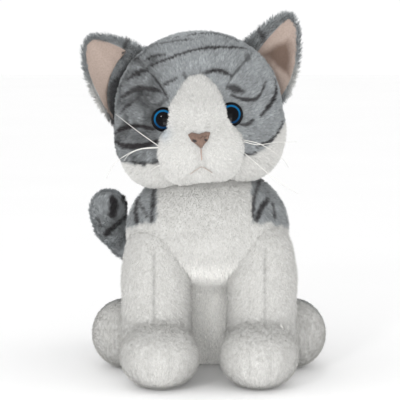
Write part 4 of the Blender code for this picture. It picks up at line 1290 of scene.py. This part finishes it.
def paint_trunk(points):
    """White chest and belly, grey shoulders and back with dark bars."""
    points = on_form(points, TRUNK_BLOBS, TRUNK_BLEND)
    turn, side = round_the_trunk(points)
    ragged = wobble(points, 3.5, 21)
    inner = np.where(side < 0, 38.5, 31.0) + (points[:, 2] < 100) * 40
    grey_side = step_between(-0.8, 0.8, np.abs(points[:, 0]) - inner + ragged * 0.9)
    bottom = np.interp(turn, (50, 80, 100), (117, 108, 6))
    grey_side = grey_side * step_between(-0.9, 0.9, points[:, 2] - bottom + ragged * 2.0)
    grey_side = np.maximum(grey_side, step_between(84, 96, turn + ragged * 3) * (points[:, 2] > 6))
    bars = np.cos(2 * np.pi * (points[:, 2] + (turn - 120) * 0.16 + wobble(points, 16, 22) * 4) / 17.5)
    dark = step_between(0.42, 0.80, bars + ragged * 0.12) * step_between(72, 98, turn) * 0.85
    spine = step_between(7, 2.5, np.abs(points[:, 0]) + ragged * 1.5) * step_between(140, 160, turn) * 0.7
    dark = np.maximum(dark, spine)
    routes = [(on_form(smooth_route(stops, 8), TRUNK_BLOBS, TRUNK_BLEND), half, strength)
              for stops, half, strength in SHOULDER_MARKS]
    dark = stained(points, routes, (1.2, 1.0, ragged * 0.6), dark)
    base = GREY[None] * (1 + 0.12 * wobble(points, 9.0, 23)[:, None])
    grey = base + (DARK - base) * dark[:, None]
    # painted light: the white low on the chest, between the front legs, is lightened against the shade
    # there
    recess_painted_light = step_between(92, 78, points[:, 2]) * step_between(36, 24, np.abs(points[:, 0]))
    pale = WHITE * (1 + 0.36 * recess_painted_light * (turn < 90))[:, None]
    colours = grey + (pale - grey) * (1 - grey_side[:, None])
    return colours, grey_side < 0.5


def down_comb(points, normals):
    """The pile runs down and a little back."""
    return np.tile(np.array([0.0, 0.25, -1.0]), (len(points), 1))


def make_trunk():
    """The trunk's skin and coat."""
    cage = ((0, -40, 100), (0, -2, 40), (0, 0, -1))
    skin = Skin(TRUNK_BLOBS, cage, TRUNK_BLEND, (180, 44, 48))
    for side in (-1, 1):
        skin.seam([(side * 34, -80, 148), (side * 42, -84, 128), (side * 44, -74, 100)], 0.8, 3.0)
        skin.seam([(side * 60, -2, 112), (side * 62, 2, 70), (side * 58, 6, 20)], 0.8, 3.0)
    skin.seam([(0, -8, 152), (0, 22, 110), (0, 46, 70), (0, 52, 40)], 1.2, 2.6)
    for stops, depth in CHEST_FOLDS:
        skin.seam(smooth_route(stops, 10), depth, 3.2)
    nodes = ("chest_panel", "belly_panel", "base_panel", "flank_left", "flank_right",
             "back_panel_left", "back_panel_right")
    piece = skin.build("trunk_skin", paint_trunk, "trunk", nodes)

    def keep(points, normals):
        head = depth_in(world_to_head(points), HEAD_BLOBS, HEAD_BLEND)
        return (head > -9) & (points[:, 2] > FUR_ROOT)

    grow_fur("trunk_fur", piece, Coat(3.3, 1.7, 0.3), paint_trunk, down_comb, keep, "trunk",
             ("white_plush", "striped_plush"), trunk_lengths, 2)


CHEST_FOLDS = (
    (((-34, -94, 128), (-22, -99, 124), (-8, -100, 126)), 0.9),
    (((-36, -92, 112), (-24, -98, 108), (-12, -98, 112)), 0.9),
    (((28, -92, 112), (20, -96, 100), (14, -94, 88)), 0.9),
)


def trunk_lengths(points, normals):
    """White pile is a little shorter than the grey."""
    _, white = paint_trunk(points)
    return np.where(white, 0.8, 1.0)


def clear_of_trunk(points, normals):
    """No strands deep inside the trunk or under the kitten."""
    return (depth_in(points, TRUNK_BLOBS, TRUNK_BLEND) > -7) & (points[:, 2] > FUR_ROOT)


# ---- the legs and feet ----
def paint_leg(points):
    """White, a little darker along the front seam and over the instep: painted shade in the seam's crease
    and in the fold above the paw.
    """
    ahead = points[:, 1] < -80
    # painted shade along the front seam's crease and in the fold over the instep
    seam = np.exp(-((np.abs(points[:, 0]) - 40.5) / 1.0)**2) * ahead
    seam = seam * step_between(44, 52, points[:, 2]) * step_between(110, 90, points[:, 2])
    instep = np.exp(-((points[:, 2] - 42) / 6.0)**2) * ahead
    shade = 1 - 0.20 * seam - 0.09 * instep
    return WHITE * shade[:, None], np.ones(len(points), bool)


def leg_blobs(side):
    """Shoulder, waist, shank and paw."""
    blobs = [(mirrored(SHOULDER, side), (SHOULDER_BALL,) * 3)]
    for centre, radii in (LEG_WAIST, LEG_SHANK, PAW):
        blobs.append((mirrored(centre, side), radii))
    return blobs


def make_front_leg(side, name):
    """A leg's skin with its front seam, folds and toe lines, its coat and its toe stitches."""
    blobs = leg_blobs(side)
    cage = (mirrored((39, -77, 90), side), mirrored((36.5, -104, 20), side), (0, 0, -1))
    skin = Skin(blobs, cage, 5.0, (120, 28, 48))
    seam_x = side * 40.5
    skin.seam([(seam_x, -100, 104), (seam_x, -105, 70), (seam_x, -106, 50)], 1.3, 2.2)
    skin.seam([(side * 12, -104, 47), (side * 26, -112, 49), (side * 48, -111, 49), (side * 62, -100, 46)],
              0.9, 5.0)
    front_seam = smooth_route([(seam_x, -96, 112), (seam_x, -104, 80), (seam_x, -106, 52)], 10)
    body = "front_leg_" + name
    stitches = []
    for number, offset in enumerate((-8.5, 8.5), 1):
        stops = front_stops(blobs, side * PAW[0][0] + offset, PAW[0][1], (31.0, 26.0, 20.0, 14.0))
        skin.seam(stops, 1.2, 2.2)
        stitches.append((number, stops))
    nodes = [part + name for part in ("leg_outer_", "leg_inner_", "paw_sole_")]
    piece = skin.build("leg_skin_" + name, paint_leg, body, nodes)
    for number, stops in stitches:
        route = smooth_route(stops, 18) + np.array([0, -0.2, 0])
        points, faces = tube_mesh(route, 0.3, 7)
        thread = new_piece(f"toe_line_{name}_{number}", points, faces, MATERIALS["toe"])
        declare(thread, body, [f"toe_stitch_{name}_{number}"])

    def lengths(points, normals):
        near = np.ones(len(points))
        for _, stops in stitches:
            distance, _ = distance_to_route(points, stops)
            near *= 0.6 + 0.4 * step_between(0.8, 2.6, distance)
        distance, _ = distance_to_route(points, front_seam)
        return near * (0.45 + 0.55 * step_between(0.4, 2.2, distance))

    def comb(points, normals):
        forward = step_between(70, 20, points[:, 2])[:, None]
        return np.array([[0.0, 0.05, -1.0]]) * (1 - forward) + np.array([[0.0, -0.5, -0.8]]) * forward

    grow_fur("leg_fur_" + name, piece, Coat(2.6, 2.0, 0.3), paint_leg, comb, clear_of_trunk, body,
             ("white_plush", "grey_plush"), lengths, 30 + side)


def front_stops(blobs, x, y, heights):
    """Stops down the front of a form, found ahead of x and y."""
    inside = np.array([(x, y, height) for height in heights])
    ahead = np.tile(np.array([0.0, -1.0, 0.0]), (len(inside), 1))
    return surface_points(inside, ahead, blobs, LIMB_BLEND, SKIN_INSET)


def foot_blobs(side):
    """Heel, toe and the middle of a hind foot."""
    heel, toe = mirrored(HEEL, side), mirrored(TOE, side)
    return [(heel, (25,) * 3), (toe, (25.0, 27.0, 26.5)), ((heel + toe) / 2, (24.0, 28.0, 25.0))]


def paint_foot(points):
    """White, with the grey of the haunch on top towards the heel."""
    top = step_between(38, 50, points[:, 2] + wobble(points, 4.0, 41) * 3)
    back = step_between(-46, -22, points[:, 1] + wobble(points, 5.0, 42) * 3)
    grey = np.clip(top * back * 0.6 + back * step_between(14, 30, points[:, 2]) * 0.5, 0, 1)
    colours = WHITE + (GREY - WHITE) * grey[:, None]
    return colours, grey < 0.5


def make_hind_foot(side, name):
    """A hind foot's skin and coat."""
    blobs = foot_blobs(side)
    heel, toe = mirrored(HEEL, side), mirrored(TOE, side)
    skin = Skin(blobs, (heel, toe, toe - heel), LIMB_BLEND, (100, 28, 24))
    for offset in (-8, 8):
        skin.seam(front_stops(blobs, toe[0] + offset, toe[1], (40.0, 32.0, 24.0, 16.0)), 1.6, 2.4)
    body = "hind_foot_" + name
    nodes = ["foot_upper_" + name, "foot_sole_" + name]
    piece = skin.build("foot_skin_" + name, paint_foot, body, nodes)

    def comb(points, normals):
        return np.tile(np.array([side * 0.2, -0.9, -0.4]), (len(points), 1))

    grow_fur("foot_fur_" + name, piece, Coat(2.6, 1.9, 0.3), paint_foot, comb, clear_of_trunk, body,
             ("white_plush", "grey_plush"), None, 40 + side)


# ---- the tail ----
def tail_spine(t):
    """The middle of the tail, from its root under the back to its tip beside the shoulder."""
    stops = TAIL_ROOT + np.array(TAIL_OFFSETS, float)
    bends = stops.copy()
    neighbours = (stops[0:3] + stops[2:5]) / 2
    bends[1:4] = stops[1:4] + (stops[1:4] - neighbours) * 0.8
    t = np.asarray(t, float)[..., None]
    return sum(math.comb(4, k) * t**k * (1 - t)**(4 - k) * bends[k] for k in range(5))


TAIL_ROUTE = tail_spine(np.linspace(0, 1, 60))
# Dark patches: the middle of each in millimetres; half width; strength.
TAIL_MARKS = (
    (((-75, 8, 124), (-74, 5, 119), (-75, 5, 112)), 3.3, 0.95),
    (((-66, 16, 123), (-65, 19, 117), (-66, 24, 110)), 4.2, 0.97),
    (((-67, 15, 109), (-74, 13, 102), (-82, 19, 94)), 2.8, 0.95),
    (((-87, 9, 110), (-86, 13, 102)), 1.5, 0.7),
    (((-78, 30, 124), (-84, 28, 112), (-86, 28, 104)), 3.0, 0.8),
)


def on_tail(points):
    """The points moved on to the tail's skin."""
    away, along = distance_to_route(points, TAIL_ROUTE)
    centres = tail_spine(along)
    reach = (TAIL_RADIUS - SKIN_INSET) / np.maximum(away, 1.0)
    return centres + (points - centres) * reach[:, None]


def paint_tail(points):
    """Grey, with dark rings and a dark tip."""
    _, along = distance_to_route(points, TAIL_ROUTE)
    points = on_tail(points)
    place = along + wobble(points, 7.0, 51) * 0.012
    rings = np.cos(2 * np.pi * (place * 6.2 + 0.18))
    dark = step_between(0.25, 0.75, rings + wobble(points, 3.0, 52) * 0.2) * 0.9
    dark *= step_between(0.74, 0.66, place)
    routes = [(on_tail(smooth_route(stops, 8)), half, strength) for stops, half, strength in TAIL_MARKS]
    dark = stained(points, routes, (1.4, 1.4, wobble(points, 3.0, 54) * 0.8), dark)
    base = PALE_GREY[None] * (0.86 + 0.12 * wobble(points, 9.0, 53)[:, None])
    return base + (DARK - base) * dark[:, None], np.zeros(len(points), bool)


def make_tail():
    """The tail's skin and coat."""
    columns = 48
    rings = cage_rings(12, 90)
    radius = TAIL_RADIUS - SKIN_INSET
    turns = 2 * math.pi * np.arange(columns)[:, None] / columns
    points = []
    for along, angle in [(0.0, 0.0)] + rings + [(1.0, math.pi)]:
        centre = tail_spine(along)
        ahead = unit(tail_spine(min(along + 0.01, 1)) - tail_spine(max(along - 0.01, 0)))
        across = unit(np.cross(ahead, (0.0, 0.0, 1.0)))
        upward = np.cross(across, ahead)
        swell = 1 + 0.04 * math.sin(along * 40) + 0.03 * math.sin(along * 13 + 1)
        if math.sin(angle) < 1e-6:
            points.append((centre - math.cos(angle) * ahead * radius)[None])
            continue
        spokes = np.cos(turns) * across + np.sin(turns) * upward
        points.append(centre + (math.sin(angle) * spokes * swell - math.cos(angle) * ahead) * radius)
    points = np.vstack(points)
    piece = backing("tail_skin", points, grid_faces(len(rings), columns), paint_tail)
    set_bake_map(piece.data, grid_bake_map(len(rings), columns))
    declare(piece, "tail", ["tail_upper", "tail_lower"])

    def comb(points, normals):
        _, along = distance_to_route(points, TAIL_ROUTE)
        last = len(TAIL_ROUTE) - 1
        ends = np.clip(along[:, None] * last + np.array([-1, 1]), 0, last).astype(int)
        return unit(TAIL_ROUTE[ends[:, 1]] - TAIL_ROUTE[ends[:, 0]] + 1e-6)

    def keep(points, normals):
        return depth_in(points, TRUNK_BLOBS, TRUNK_BLEND) > -7

    grow_fur("tail_fur", piece, Coat(4.0, 2.2, 0.36, 42, 18), paint_tail, comb, keep, "tail",
             ("white_plush", "striped_plush"), None, 50)


# ---- the pieces inside ----
def finish_inner_pieces():
    """Give the CAD pieces that stay their materials."""
    stuffing = fibre_material("loose fibre", (0.86, 0.85, 0.82), 160.0)
    cloth = fibre_material("bag cloth", (0.76, 0.76, 0.72), 900.0)
    nylon = fibre_material("washer nylon", (0.72, 0.72, 0.69), 500.0)
    for node, item in frame["nodes"].items():
        if "stuffing" in node:
            chosen = stuffing
        elif node == "pellet_bag":
            chosen = cloth
        elif node.startswith("eye_washer"):
            chosen = nylon
        else:
            continue
        item.data.materials.clear()
        item.data.materials.append(chosen)


# ---- floor, light and camera ----
def make_floor():
    """A large pale floor."""
    nodes = Nodes("pale floor")
    shade = nodes.span(nodes.noise(3.0, 2.0), 0.3, 0.7, 0.985, 1.0)
    material = nodes.set(Base_Color=nodes.scaled((0.97, 0.97, 0.97), shade), Roughness=0.9)
    size = 6000.0
    corners = [(-size, -size, 0), (size, -size, 0), (size, size, 0), (-size, size, 0)]
    floor = new_piece("floor", np.array(corners), [(0, 1, 2, 3)], material, smooth=False)


def add_light(name, place, target, size, power):
    """A square soft light aimed at a target, in metres and watts."""
    data = bpy.data.lights.new(name, "AREA")
    data.shape = "SQUARE"
    data.size = size
    data.energy = power
    lamp = bpy.data.objects.new(name, data)
    lamp.location = place
    lamp.rotation_euler = (Vector(target) - Vector(place)).to_track_quat("-Z", "Y").to_euler()
    bpy.context.scene.collection.objects.link(lamp)


def make_lights():
    """A bright white room, with a key light above the front, a fill before it and a low light."""
    world = bpy.data.worlds.new("studio")
    world.use_nodes = True
    background = world.node_tree.nodes["Background"]
    background.inputs["Color"].default_value = (1.0, 1.0, 1.0, 1.0)
    background.inputs["Strength"].default_value = 1.02
    bpy.context.scene.world = world
    add_light("key", (-0.55, -1.4, 0.8), (0, -0.05, 0.12), 0.14, 3.5)
    add_light("fill", (0.0, -1.5, 0.14), (0, -0.05, 0.08), 0.7, 2.0)
    add_light("low", (0.0, -0.5, 0.02), (0, -0.05, 0.02), 0.2, 0.8)
    bpy.context.scene.view_settings.view_transform = "Standard"


def make_camera():
    """A long lens in front of the kitten, a little above its middle."""
    middle_x = -0.0068
    data = bpy.data.cameras.new("camera")
    data.lens = 166.5
    data.sensor_width = 36.0
    data.clip_end = 50.0
    camera = bpy.data.objects.new("camera", data)
    camera.location = (middle_x, -1.436, 0.2756)
    target = Vector((middle_x, -0.044, 0.1293))
    camera.rotation_euler = (target - camera.location).to_track_quat("-Z", "Y").to_euler()
    bpy.context.scene.collection.objects.link(camera)
    bpy.context.scene.camera = camera


# ---- everything ----
MATERIALS = {
    "skin": skin_material(),
    "fur": fur_material(),
    "lining": lining_material(),
    "eye": eye_material(),
    "bristle": bristle_material(),
    "nose": thread_material("nose thread", tuple(NOSE), tuple(NOSE * 0.62)),
    "nostril": thread_material("nostril thread", (0.045, 0.035, 0.035), (0.02, 0.015, 0.015)),
    "mouth": thread_material("philtrum thread", (0.46, 0.30, 0.25), (0.34, 0.22, 0.18)),
    "lip": thread_material("mouth thread", (0.52, 0.44, 0.40), (0.38, 0.31, 0.28)),
    "toe": thread_material("toe thread", (0.66, 0.66, 0.64), (0.52, 0.52, 0.50)),
}
HEAD_STROKES = [(face_route(stops), half, strength) for stops, half, strength in STROKES]
HEAD_STROKES += back_strokes()
MOUTH_ROUTES = [
    face_route(((0, -25), (0, -34)), 5),
    face_route(MOUTH, 9),
]


def main():
    """Dress every part of the kitten."""
    make_camera()
    make_lights()
    make_floor()
    head = make_head()
    face = Face(head)
    make_eyes()
    make_nose(face)
    make_mouth(face)
    make_whiskers()
    for side, name in SIDES:
        make_ear(side, name)
    make_trunk()
    for side, name in SIDES:
        make_front_leg(side, name)
        make_hind_foot(side, name)
    make_tail()
    finish_inner_pieces()


main()
